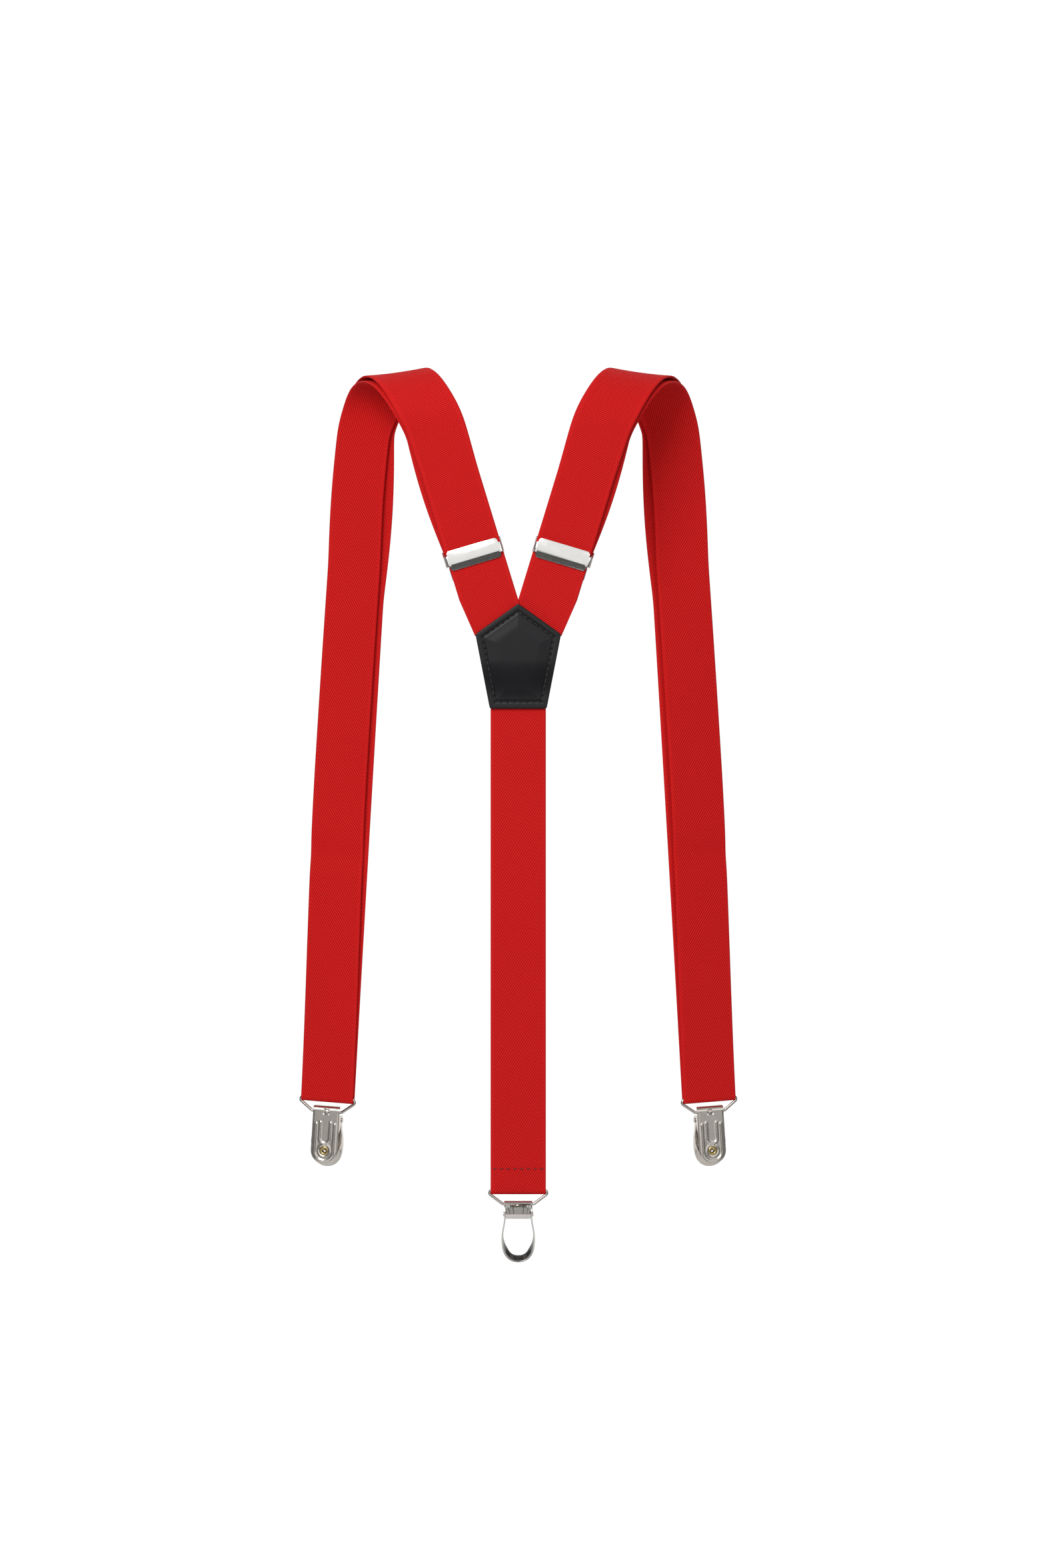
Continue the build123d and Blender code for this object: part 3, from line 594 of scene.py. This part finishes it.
def webbing_material():
    g = Graph("red_twill_webbing")
    uv = g.node("ShaderNodeUVMap", uv_map="webbing").outputs[0]
    parts = g.node("ShaderNodeSeparateXYZ")
    g.put(parts.inputs[0], uv)
    u, v = parts.outputs[0], parts.outputs[1]
    distance = g.math("ABSOLUTE", u)
    edge_at = (WIDTH / 2 - SELVEDGE) / RIB_PITCH
    selvedge = g.math("GREATER_THAN", distance, edge_at)
    jitter = g.noise(0.55, 2.0, uv)
    wave = g.math("ADD", g.math("ADD", u, v), g.math("MULTIPLY", jitter, 0.14))
    chevron = g.math("SUBTRACT", v, distance)
    phase = g.math("FRACT", wave)
    ridge = g.math("SINE", g.math("MULTIPLY", phase, math.pi))
    ridge = g.math("POWER", ridge, 0.75)
    beads = g.math("FRACT", g.math("MULTIPLY", g.math("SUBTRACT", u, v), 0.85))
    beads = g.math("SINE", g.math("MULTIPLY", beads, math.pi))
    bead_height = g.math("MULTIPLY", ridge, g.math("MULTIPLY_ADD", beads, 0.34, 0.66))
    edge_phase = g.math("FRACT", g.math("MULTIPLY", chevron, 1.6))
    edge_ridge = g.math("SINE", g.math("MULTIPLY", edge_phase, math.pi))
    edge_height = g.math("MULTIPLY_ADD", edge_ridge, 0.4, 0.42)
    switch = g.node("ShaderNodeMix", data_type="FLOAT")
    g.put(switch.inputs[0], selvedge)
    g.put(switch.inputs[2], bead_height)
    g.put(switch.inputs[3], edge_height)
    height = switch.outputs[0]
    fibre = g.noise(14.0, 2.0, uv, 0.7)
    height = g.math("MULTIPLY_ADD", fibre, 0.05, height)
    # Colour follows the rib height: painted shade in the valleys between ribs and painted light on
    # their crests
    tone = g.ramp(height, [(0.16, (0.42, 0.0016, 0.0020)), (0.5, (0.57, 0.0042, 0.0048)),
                           (0.95, (0.76, 0.018, 0.017))])
    drift = g.noise(9.0, 3.0)
    drift = g.math("MULTIPLY", g.math("SUBTRACT", drift, 0.35), 0.35)
    tone = g.mix(drift, tone, (0.46, 0.004, 0.005))
    normal = g.bump(height, 0.00030, 0.75)
    return g.set(Base_Color=tone, Normal=normal, Roughness=0.72, Specular_IOR_Level=0.12)


def leather_material():
    g = Graph("black_leather")
    border = g.node("ShaderNodeAttribute", attribute_name="border").outputs["Fac"]
    grain = g.node("ShaderNodeTexVoronoi", Scale=2600.0)
    g.put(grain.inputs["Vector"], g.place())
    fine = g.noise(5200.0, 3.0)
    broad = g.noise(60.0, 3.0)
    rim = g.ramp(g.math("MULTIPLY", border, 0.25), [(0.0, (1, 1, 1)), (0.42, (0.75, 0.75, 0.75)),
                                                    (0.95, (0, 0, 0))])
    middle = g.mix(broad, (0.0060, 0.0060, 0.0072), (0.0100, 0.0100, 0.0120))
    colour = g.mix(rim, middle, (0.0135, 0.0125, 0.0125))
    rough = g.math("MULTIPLY_ADD", broad, 0.14, 0.30)
    height = g.math("MULTIPLY_ADD", fine, 0.4, grain.outputs["Distance"])
    normal = g.bump(height, 0.00003, 0.5)
    return g.set(Base_Color=colour, Roughness=rough, Normal=normal, Specular_IOR_Level=0.24)


def thread_material(name, low, high):
    g = Graph(name)
    twist = g.noise(3800.0, 2.0)
    colour = g.mix(twist, low, high)
    normal = g.bump(twist, 0.00005, 0.6)
    return g.set(Base_Color=colour, Roughness=0.55, Sheen_Weight=0.15, Normal=normal)


def metal_material(name, low, high, rough, brushed, scratches):
    """Plated sheet or wire: tone drifts a little, with fine brush lines and handling marks, and
    painted shade darkens faces turned inwards.
    """
    g = Graph(name)
    stretch = g.node("ShaderNodeMapping")
    stretch.inputs["Scale"].default_value = (1.0, 1.0, 0.04)
    g.put(stretch.inputs[0], g.place())
    lines = g.noise(2600.0, 2.0, stretch.outputs[0], 0.6)
    cloud = g.noise(240.0, 4.0)
    marks = g.node("ShaderNodeTexVoronoi", Scale=900.0, feature="DISTANCE_TO_EDGE")
    g.put(marks.inputs["Vector"], g.place())
    scratch = g.math("LESS_THAN", marks.outputs["Distance"], 0.012)
    colour = g.mix(cloud, low, high)
    # Painted shade: faces marked by this attribute are mixed towards near black, standing for shade
    # and dark reflections
    painted_inner_shade = g.node("ShaderNodeAttribute", attribute_name="painted_inner_shade").outputs["Fac"]
    colour = g.mix(g.math("MULTIPLY", painted_inner_shade, 0.85), colour, (0.030, 0.032, 0.036))
    roughness = g.math("MULTIPLY_ADD", cloud, rough * 0.5, rough * 0.75)
    roughness = g.math("MULTIPLY_ADD", scratch, scratches, roughness)
    normal = g.bump(lines, 0.000004, brushed)
    return g.set(Base_Color=colour, Roughness=roughness, Normal=normal, Metallic=1.0)


def pad_material():
    g = Graph("grip_plastic")
    cloud = g.noise(420.0, 3.0)
    colour = g.mix(cloud, (0.62, 0.585, 0.52), (0.74, 0.71, 0.65))
    return g.set(Base_Color=colour, Roughness=g.math("MULTIPLY_ADD", cloud, 0.2, 0.32),
                 Subsurface_Weight=0.15, Normal=g.bump(g.noise(2500.0), 0.00002, 0.4))


MATERIALS = {
    "webbing": webbing_material(),
    # The red thread is darkened well below the webbing's red as painted shade of the sunken
    # stitches
    "strap_thread": thread_material("red_thread_painted_shade", (0.14, 0.001, 0.002), (0.30, 0.003, 0.004)),
    "leather": leather_material(),
    "patch_thread": thread_material("black_thread", (0.006, 0.006, 0.007), (0.03, 0.03, 0.033)),
    "pad_plastic": pad_material(),
}
METALS = [
    # slot, name, darker tone, lighter tone, roughness, brushing, scratches
    ("wire_nickel", "ring_wire", (0.46, 0.42, 0.39), (0.62, 0.58, 0.55), 0.16, 0.2, 0.05),
    ("satin_nickel", "clip_satin", (0.56, 0.515, 0.47), (0.72, 0.675, 0.62), 0.24, 0.8, 0.05),
    ("bright_nickel", "clip_bright", (0.60, 0.58, 0.54), (0.74, 0.72, 0.69), 0.08, 0.15, 0.05),
    ("adjuster_nickel", "adjuster", (0.78, 0.765, 0.74), (0.88, 0.87, 0.85), 0.13, 0.3, 0.03),
    ("rivet_brass", "eyelet_brass", (0.40, 0.30, 0.13), (0.58, 0.45, 0.21), 0.28, 0.4, 0.05),
]
for metal_slot, *look in METALS:
    MATERIALS[metal_slot] = metal_material(*look)


def dress(piece, slot):
    piece.data.materials.clear()
    piece.data.materials.append(MATERIALS[slot])


for row in frame["record"]["subparts"]:
    node = nodes[row["node"]]
    if not node.material_slots:
        node.data.materials.append(None)
    for material_slot in node.material_slots:
        material_slot.material = MATERIALS[row["material_slot"]]

# ------------------------------------------------------------------ metal pieces

BODY = {}
for body, members in frame["record"]["behaviour"]["bodies"].items():
    BODY.update({node: body for node in members})
SLOT = {row["node"]: row["material_slot"] for row in frame["record"]["subparts"]}


def softened(node, width, segments=2):
    """A copy of a pressed or turned metal part with its sharp edges rounded over."""
    source = nodes[node]
    bm = bmesh.new()
    bm.from_mesh(source.data)
    bmesh.ops.transform(bm, matrix=source.matrix_world, verts=bm.verts)
    bmesh.ops.remove_doubles(bm, verts=bm.verts, dist=0.002 * MM)
    bmesh.ops.dissolve_limit(bm, angle_limit=math.radians(1.5), verts=bm.verts, edges=bm.edges)
    sharp = math.radians(28)
    edges = [e for e in bm.edges if len(e.link_faces) == 2 and e.calc_face_angle(0) > sharp]
    bmesh.ops.bevel(bm, geom=edges, offset=width * MM, segments=segments, profile=0.5,
                    affect="EDGES", clamp_overlap=True)
    for face in bm.faces:
        face.smooth = True
    for edge in bm.edges:
        edge.smooth = edge.calc_face_angle(0) < math.radians(38)
    mesh = bpy.data.meshes.new(node + "_soft")
    bm.to_mesh(mesh)
    bm.free()
    piece = bpy.data.objects.new(node + "_soft", mesh)
    bpy.context.scene.collection.objects.link(piece)
    fitted(piece, node)


def clip_frame(name):
    """The clip's own axes: the ring's lower bar at the origin, its front towards -Y."""
    if name == "back":
        y = arr(0, math.cos(BACK_CLIP_TURN), math.sin(BACK_CLIP_TURN))
        z = arr(0, -math.sin(BACK_CLIP_TURN), math.cos(BACK_CLIP_TURN))
        return arr(0, BACK_Y + LOOP, BACK_RING_Z - RING_HEIGHT), arr(1, 0, 0), y, z
    across, out, up = front_axes(SIDES[name])
    return ring_centre(SIDES[name]) - up * RING_HEIGHT, -across, -out, up


def grid_faces(rows, columns, hole=None):
    faces = []
    for i in range(rows - 1):
        for j in range(columns - 1):
            if hole is None or not hole(i, j):
                a = i * columns + j
                faces.append((a, a + 1, a + columns + 1, a + columns))
    return faces


def bead(x, z, half, top, foot):
    """Distance from the middle line of a raised U."""
    if z > top:
        return math.hypot(abs(x) - half, z - top)
    if z > foot:
        return abs(abs(x) - half)
    return abs(math.hypot(x, z - foot) - half)


def pressed_sheet(verts, faces, thickness, rounding):
    """A sheet of metal from one surface, with its rim rounded over."""
    mesh = bpy.data.meshes.new("sheet")
    mesh.from_pydata([tuple(v) for v in verts], [], faces)
    piece = bpy.data.objects.new("sheet", mesh)
    bpy.context.scene.collection.objects.link(piece)
    solid = piece.modifiers.new("solid", "SOLIDIFY")
    solid.thickness = thickness
    solid.offset = -1
    rim = piece.modifiers.new("rim", "BEVEL")
    rim.width = rounding
    rim.segments = 3
    rim.angle_limit = math.radians(50)
    evaluated = piece.evaluated_get(bpy.context.evaluated_depsgraph_get())
    shape = bpy.data.meshes.new_from_object(evaluated)
    bm = bmesh.new()
    bm.from_mesh(shape)
    bpy.data.objects.remove(piece)
    bpy.data.meshes.remove(mesh)
    bpy.data.meshes.remove(shape)
    return bm


def joined(name, parts, frame_axes, heart=None):
    """One piece from several closed shells, set in a clip's frame. Faces turned to the heart line,
    given as its y and z, get an attribute of painted shade that darkens them."""
    origin, x, y, z = frame_axes
    mesh = bpy.data.meshes.new(name)
    verts, faces = [], []
    for bm in parts:
        base = len(verts)
        bm.verts.index_update()
        verts += [tuple((origin + x * v.co.x + y * v.co.y + z * v.co.z) * MM) for v in bm.verts]
        faces += [tuple(base + v.index for v in face.verts) for face in bm.faces]
        bm.free()
    mesh.from_pydata(verts, [], faces)
    bm = bmesh.new()
    bm.from_mesh(mesh)
    bmesh.ops.recalc_face_normals(bm, faces=bm.faces)
    for face in bm.faces:
        face.smooth = True
    for edge in bm.edges:
        edge.smooth = edge.calc_face_angle(0) < math.radians(50)
    # Painted shade: faces turned to the heart line are marked for darkening in the metal's colour
    if heart:
        layer = bm.verts.layers.float.new("painted_inner_shade")
        centre = (origin + y * heart[0] + z * heart[1]) * MM
        for v in bm.verts:
            away = unit(centre - np.array(v.co))
            v[layer] = eased(float(np.dot(away, v.normal)), 0.1, 0.75)
    bm.to_mesh(mesh)
    bm.free()
    piece = bpy.data.objects.new(name, mesh)
    bpy.context.scene.collection.objects.link(piece)
    return piece


def slab(points, x0, x1, rounding):
    """A flat plate with the given side outline (y, z), from x0 to x1, its edges rounded."""
    bm = bmesh.new()
    near = [bm.verts.new((x0, y, z)) for y, z in points]
    far = [bm.verts.new((x1, y, z)) for y, z in points]
    bm.faces.new(near)
    bm.faces.new(list(reversed(far)))
    for i in range(len(points)):
        j = (i + 1) % len(points)
        bm.faces.new((near[j], near[i], far[i], far[j]))
    bmesh.ops.bevel(bm, geom=list(bm.edges), offset=rounding, segments=2, profile=0.5,
                    affect="EDGES", clamp_overlap=True)
    return bm


def arc(radius, angles, centre=0.0):
    return [(centre + radius * math.cos(a), centre + radius * math.sin(a)) for a in angles]


def fitted(piece, node):
    """Gives a piece the material, the body and the place of the CAD node that it replaces."""
    dress(piece, SLOT[node])
    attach(piece, BODY[node])
    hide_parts(node)


def clip_plate_piece(name):
    """The clip's back plate: pressed sheet with a flange, a window, two raised Us and an
    eyelet's seat, with its two ears and the tongue that is rolled round the ring."""
    half, foot = CLIP_HALF, CLIP_FOOT
    flange = [(-0.9, 3.75), (-0.2, 3.5), (0.5, 3.1), (1.1, 2.55), (1.5, 2.0), (1.75, 1.45)]
    round_foot = np.linspace(0.02, math.pi / 2 - 0.03, 42)
    path = flange + [(1.9, 0.8)] + [(1.9, z) for z in np.arange(0.5, foot, -0.3)]
    path += [(1.9, foot - half * math.sin(a)) for a in round_foot]
    columns = np.linspace(-1, 1, CLIP_COLUMNS)
    verts = []
    for y, z in path:
        reach = half if z > foot else math.sqrt(half * half - (z - foot) ** 2)
        corner = max(0.0, z - 2.8)
        reach -= 1.0 - math.sqrt(max(0.0, 1 - corner * corner)) if corner else 0.0
        for s in columns:
            x = s * reach
            inner = bead(x, z, 3.4, -7.2, -17.2)
            outer = bead(x, z, 6.2, -8.2, foot - 0.4)
            raised = 0.52 * math.exp(-(inner / 0.62) ** 2)
            raised += 0.56 * math.exp(-(outer / 0.62) ** 2)
            edge = half - math.hypot(x, min(0.0, z - foot))
            roll = 0.5 * math.exp(-(max(0.0, edge) / 0.55) ** 2)
            seat = math.hypot(x, z - EYELET_Z)
            rim = 0.22 * math.exp(-((seat - 3.9) / 0.6) ** 2)
            dish = 0.18 * math.exp(-(seat / 3.2) ** 4)
            raised = raised * (1 - math.exp(-(seat / 3.6) ** 6)) + rim - dish
            verts.append((x, y + (raised - roll if z < 0 else 0.0), z))

    def hole(i, j):
        x, z = verts[i * CLIP_COLUMNS + j][0], path[i][1] - 0.15
        window = abs(x + 0.1) < 2.2 and -2.2 < z < 2.0
        return window or math.hypot(x, z - EYELET_Z) < 1.3

    faces = grid_faces(len(path), CLIP_COLUMNS, hole)
    parts = [pressed_sheet(verts, faces, CLIP_SHEET, 0.14)]
    ear = [(1.5, -2.2), (-6.2, -2.2), (-7.4, -3.4), (-7.4, -7.8), (0.2, -13.4), (1.5, -13.4)]
    parts.append(slab(ear, -CLIP_HALF, -CLIP_HALF + CLIP_SHEET, 0.16))
    parts.append(slab(ear, CLIP_HALF - CLIP_SHEET, CLIP_HALF, 0.16))
    within = arc(1.08, np.linspace(0.2, 1.5 * math.pi, 22))
    without = arc(1.88, np.linspace(1.5 * math.pi, 0.0, 24))
    curl = [(1.1, -2.5), (1.08, 0.0)] + within + without + [(1.88, -2.5)]
    parts.append(slab(curl, -1.2, 1.2, 0.08))
    fitted(joined(f"{name}_plate", parts, clip_frame(name)), f"{name}_clip_plate")


def eyelet_piece(name):
    """The eyelet: a rolled brass rim round a bore darkened with painted shade, with its barrel
    behind.
    """
    profile = [(1.0, -1.3), (1.0, 1.35), (1.1, 1.75), (1.5, 2.15), (2.2, 2.35), (2.75, 2.2)]
    profile += [(3.05, 1.85), (2.9, 1.6), (1.7, 1.5), (1.7, -0.9), (2.2, -1.0), (2.2, -1.3)]
    spokes = 40
    bm = bmesh.new()
    rings = []
    for k in range(spokes):
        a = 2 * math.pi * k / spokes
        across, along = math.cos(a), math.sin(a)
        rings.append([bm.verts.new((r * across, y, EYELET_Z + r * along)) for r, y in profile])
    for k in range(spokes):
        here, there = rings[k], rings[(k + 1) % spokes]
        for i in range(len(profile)):
            j = (i + 1) % len(profile)
            bm.faces.new((here[i], here[j], there[j], there[i]))
    # The bore's faces turn to the heart line, so they get painted shade
    piece = joined(f"{name}_eyelet", [bm], clip_frame(name), (0.3, EYELET_Z))
    fitted(piece, f"{name}_clip_rivet")


def jaw_piece(name):
    """The clip's jaw: a strip bent to a U that widens and scoops towards its foot."""
    arm = [(8.0, -3.8), (8.0, -8.6), (8.5, -12.0)]
    front = [(9.4, -16.5), (9.8, -21.5), (9.4, -26.5), (8.2, -30.4), (5.8, -33.4), (3.0, -34.8)]
    back = [(9.3, -16.0), (9.2, -20.0), (8.2, -24.2), (6.5, -27.8), (4.9, -30.2), (2.6, -31.6)]
    reaches = [3.2, 3.2, 3.3, 4.2, JAW_REACH, JAW_REACH]
    shares = [0.0, 0.2, 0.32, 0.5, 0.72, 1.0]

    def whole(half, foot):
        points = np.array(half + [(0.0, foot)] + [(-x, z) for x, z in reversed(half)])
        line = smooth(resample(points, 0.5), 6)
        length = np.linalg.norm(np.diff(line, axis=0), axis=1).sum()
        return resample(line, length / (rows - 1))

    rows = 110
    outer, inner = whole(arm + front, -35.2), whole(arm + back, -31.9)
    verts = []
    for i in range(rows):
        share = 1 - abs(2 * i / (rows - 1) - 1)
        reach = np.interp(share, shares, reaches)
        for t in np.linspace(0, 1, 13):
            blend = eased(t, 0.0, 1.0) * reach / JAW_REACH
            x, z = outer[i] + (inner[i] - outer[i]) * blend
            verts.append((x, -7.0 + reach * t, z))
    loop = pressed_sheet(verts, grid_faces(rows, 13), 0.9, 0.2)
    eye = arc(1.7, np.linspace(0, 2 * math.pi, 33)[:-1], PIVOT)
    parts = [loop, slab(eye, -8.1, -7.3, 0.14), slab(eye, 7.3, 8.1, 0.14)]
    origin, x, y, z = clip_frame(name)
    if name == "back":
        pivot = origin + (y + z) * PIVOT
        turned_y = y * math.cos(JAW_TURN) + z * math.sin(JAW_TURN)
        turned_z = z * math.cos(JAW_TURN) - y * math.sin(JAW_TURN)
        y, z = turned_y, turned_z
        origin = pivot - (y + z) * PIVOT
    # The inner faces of the U turn to the heart line and get painted shade, standing for dark
    # reflections
    piece = joined(f"{name}_jaw", parts, (origin, x, y, z), (-4.0, -20.0))
    fitted(piece, f"{name}_clip_jaw")


for name in ("left", "right", "back"):
    clip_plate_piece(name)
    eyelet_piece(name)
    jaw_piece(name)
    softened(f"{name}_clip_lever", 0.16)
    softened(f"{name}_clip_pin", 0.2)
for name in SIDES:
    softened(f"{name}_adjuster_frame", 0.2, 3)
    softened(f"{name}_adjuster_lever", 0.12)

# ------------------------------------------------------------------ the soft pieces

for name, side in SIDES.items():
    rows, near = side_route(side)
    strap, length = make_webbing(f"{name}_webbing", rows, side > 0, under_patch)
    dress(strap, "webbing")
    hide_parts(f"{name}_shoulder_strap", f"{name}_front_strap", f"{name}_return_strap")
    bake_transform(strap)

    low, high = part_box(f"{name}_adjuster_bar")
    bar = np.array((low + high) / 2) / MM
    foot = yoke_foot(side, YOKE_FOOT_Z - 2, BACK_Y - YOKE_DEPTH[side])
    up = unit(fold_point(side, 0) - foot)
    across = unit(arr(1, 0, 0) - up * up[0])
    out = np.cross(up, across)
    start, turn = near + up * 0.5, bar + across * side * 0.5
    rows = sewn_route(start, turn, across, out, up, END_TAIL, RIB_YOKE, bow=side * 1.8)
    end, length = make_webbing(f"{name}_webbing_end", rows, side < 0)
    dress(end, "webbing")
    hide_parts(f"{name}_return_end")
    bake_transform(end)
    height, seam_length, thread = END_SEAM
    middle = bar + up * height + out * (TAIL_GAP - LOOP + THICK / 2 + 0.05)
    places = [(middle + across * x, across, out) for x in stitch_row(seam_length)]
    seam = stitches(f"{name}_end_seam", places, STITCH_LENGTH, thread)
    dress(seam, "strap_thread")
    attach(seam, f"{name}_adjuster")
    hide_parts(f"{name}_adjuster_stitching")

x_axis, y_axis, z_axis = arr(1, 0, 0), arr(0, 1, 0), arr(0, 0, 1)
bar = arr(0, BACK_Y + LOOP, BACK_RING_Z)
rows = sewn_route(arr(0, BACK_Y, BACK_TOP_Z), bar, x_axis, y_axis, z_axis, BACK_TAIL, RIB_FRONT)
back, length = make_webbing("back_webbing", rows, False)
dress(back, "webbing")
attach(back, "harness")
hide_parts("back_strap")
height, seam_length, thread = BACK_SEAM
middle = arr(0, BACK_Y - THICK / 2 - 0.01, BACK_RING_Z + height)
places = [(middle + x_axis * x, x_axis, -y_axis) for x in stitch_row(seam_length)]
seam = stitches("back_seam", places, STITCH_LENGTH, thread)
dress(seam, "strap_thread")
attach(seam, "harness")
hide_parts("back_strap_stitching")

low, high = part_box("crosspatch")
front_y = low.y / MM
patch = crosspatch_piece("leather_crosspatch", front_y, (high.y - low.y) / MM, front_sag)
dress(patch, "leather")
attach(patch, "harness")
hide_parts("crosspatch")
places = []
for point, way, _ in stitch_points():
    place = arr(point[0], front_y + 0.22 + front_sag(point[1]), point[1])
    places.append((place, arr(way[0], 0, way[1]), -y_axis))
seam = stitches("crosspatch_seam", places, PATCH_STITCH_LENGTH, 0.27)
dress(seam, "patch_thread")
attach(seam, "harness")
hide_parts("crosspatch_stitching")
low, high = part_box("crosspatch_backing")
backing = crosspatch_piece("leather_backing", high.y / MM, (high.y - low.y) / MM, backing_sag,
                           facing=-1, trim=2.0)
dress(backing, "leather")
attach(backing, "harness")
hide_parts("crosspatch_backing")

# ------------------------------------------------------------------ studio

world = bpy.data.worlds.new("studio")
world.use_nodes = True


def studio_light(tree):
    """White behind the object, a soft top and sides, a bright panel in front, and dark below."""
    direction = tree.nodes.new("ShaderNodeSeparateXYZ")
    tree.links.new(tree.nodes.new("ShaderNodeTexCoord").outputs["Generated"], direction.inputs[0])
    x, y, z = direction.outputs

    def combine(operation, a, b=0.0):
        node = tree.nodes.new("ShaderNodeMath")
        node.operation = operation
        for socket, value in zip(node.inputs, (a, b)):
            if isinstance(value, bpy.types.NodeSocket):
                tree.links.new(value, socket)
            else:
                socket.default_value = value
        return node.outputs[0]

    def step(value, low, high, level):
        node = tree.nodes.new("ShaderNodeMapRange")
        node.interpolation_type = "SMOOTHSTEP"
        tree.links.new(value, node.inputs[0])
        node.inputs[1].default_value = low
        node.inputs[2].default_value = high
        node.inputs[4].default_value = level
        return node.outputs[0]

    behind = step(y, 0.25, 0.6, 1.02)
    above = step(z, 0.5, 0.8, 0.5)
    sides = step(combine("ABSOLUTE", x), 0.55, 0.85, 0.24)
    front = step(combine("MULTIPLY", y, -1.0), 0.82, 0.92, 0.92)
    front = combine("MULTIPLY", front, step(z, -0.26, -0.12, 1.0))
    level = combine("MAXIMUM", combine("MAXIMUM", behind, above), combine("MAXIMUM", sides, front))
    level = combine("MAXIMUM", level, 0.09)
    background = tree.nodes["Background"]
    tree.links.new(level, background.inputs["Color"])


studio_light(world.node_tree)
bpy.context.scene.world = world
bpy.context.scene.view_settings.view_transform = "Standard"
bpy.context.scene.view_settings.look = "None"


def floor(half, z):
    """The plain pale floor under the hanging object."""
    mesh = bpy.data.meshes.new("floor")
    corners = [(-half, -half, z), (half, -half, z), (half, half, z), (-half, half, z)]
    mesh.from_pydata(corners, [], [(0, 1, 2, 3)])
    piece = bpy.data.objects.new("floor", mesh)
    bpy.context.scene.collection.objects.link(piece)
    mesh.materials.append(Graph("floor").set(Base_Color=(0.93, 0.93, 0.93), Roughness=0.9))
    piece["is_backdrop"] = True


def lamp(name, place, target, size, power):
    data = bpy.data.lights.new(name, "AREA")
    data.shape = "RECTANGLE"
    data.size, data.size_y = size
    data.energy = power
    piece = bpy.data.objects.new(name, data)
    piece.location = place
    piece.rotation_euler = (Vector(target) - Vector(place)).to_track_quat("-Z", "Y").to_euler()
    bpy.context.scene.collection.objects.link(piece)


floor(half=0.85, z=-0.95)
lamp("key", (-0.45, -1.2, 0.5), (0, 0, -0.1), (0.7, 0.7), 12.8)
lamp("fill", (1.2, -1.6, 0.35), (0, 0, -0.28), (0.9, 1.2), 4)

camera = bpy.data.cameras.new("camera")
camera.sensor_fit = "VERTICAL"
camera.sensor_height = 24
distance, frame_height = 3.0, 0.9918
centre_x, plane_y, centre_z = 0.0027, -0.035, -0.25845
camera.lens = camera.sensor_height * distance / frame_height
camera_object = bpy.data.objects.new("camera", camera)
camera_object.location = (centre_x, plane_y - distance, centre_z)
camera_object.rotation_euler = (math.radians(90), 0, 0)
bpy.context.scene.collection.objects.link(camera_object)
bpy.context.scene.camera = camera_object

low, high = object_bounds()
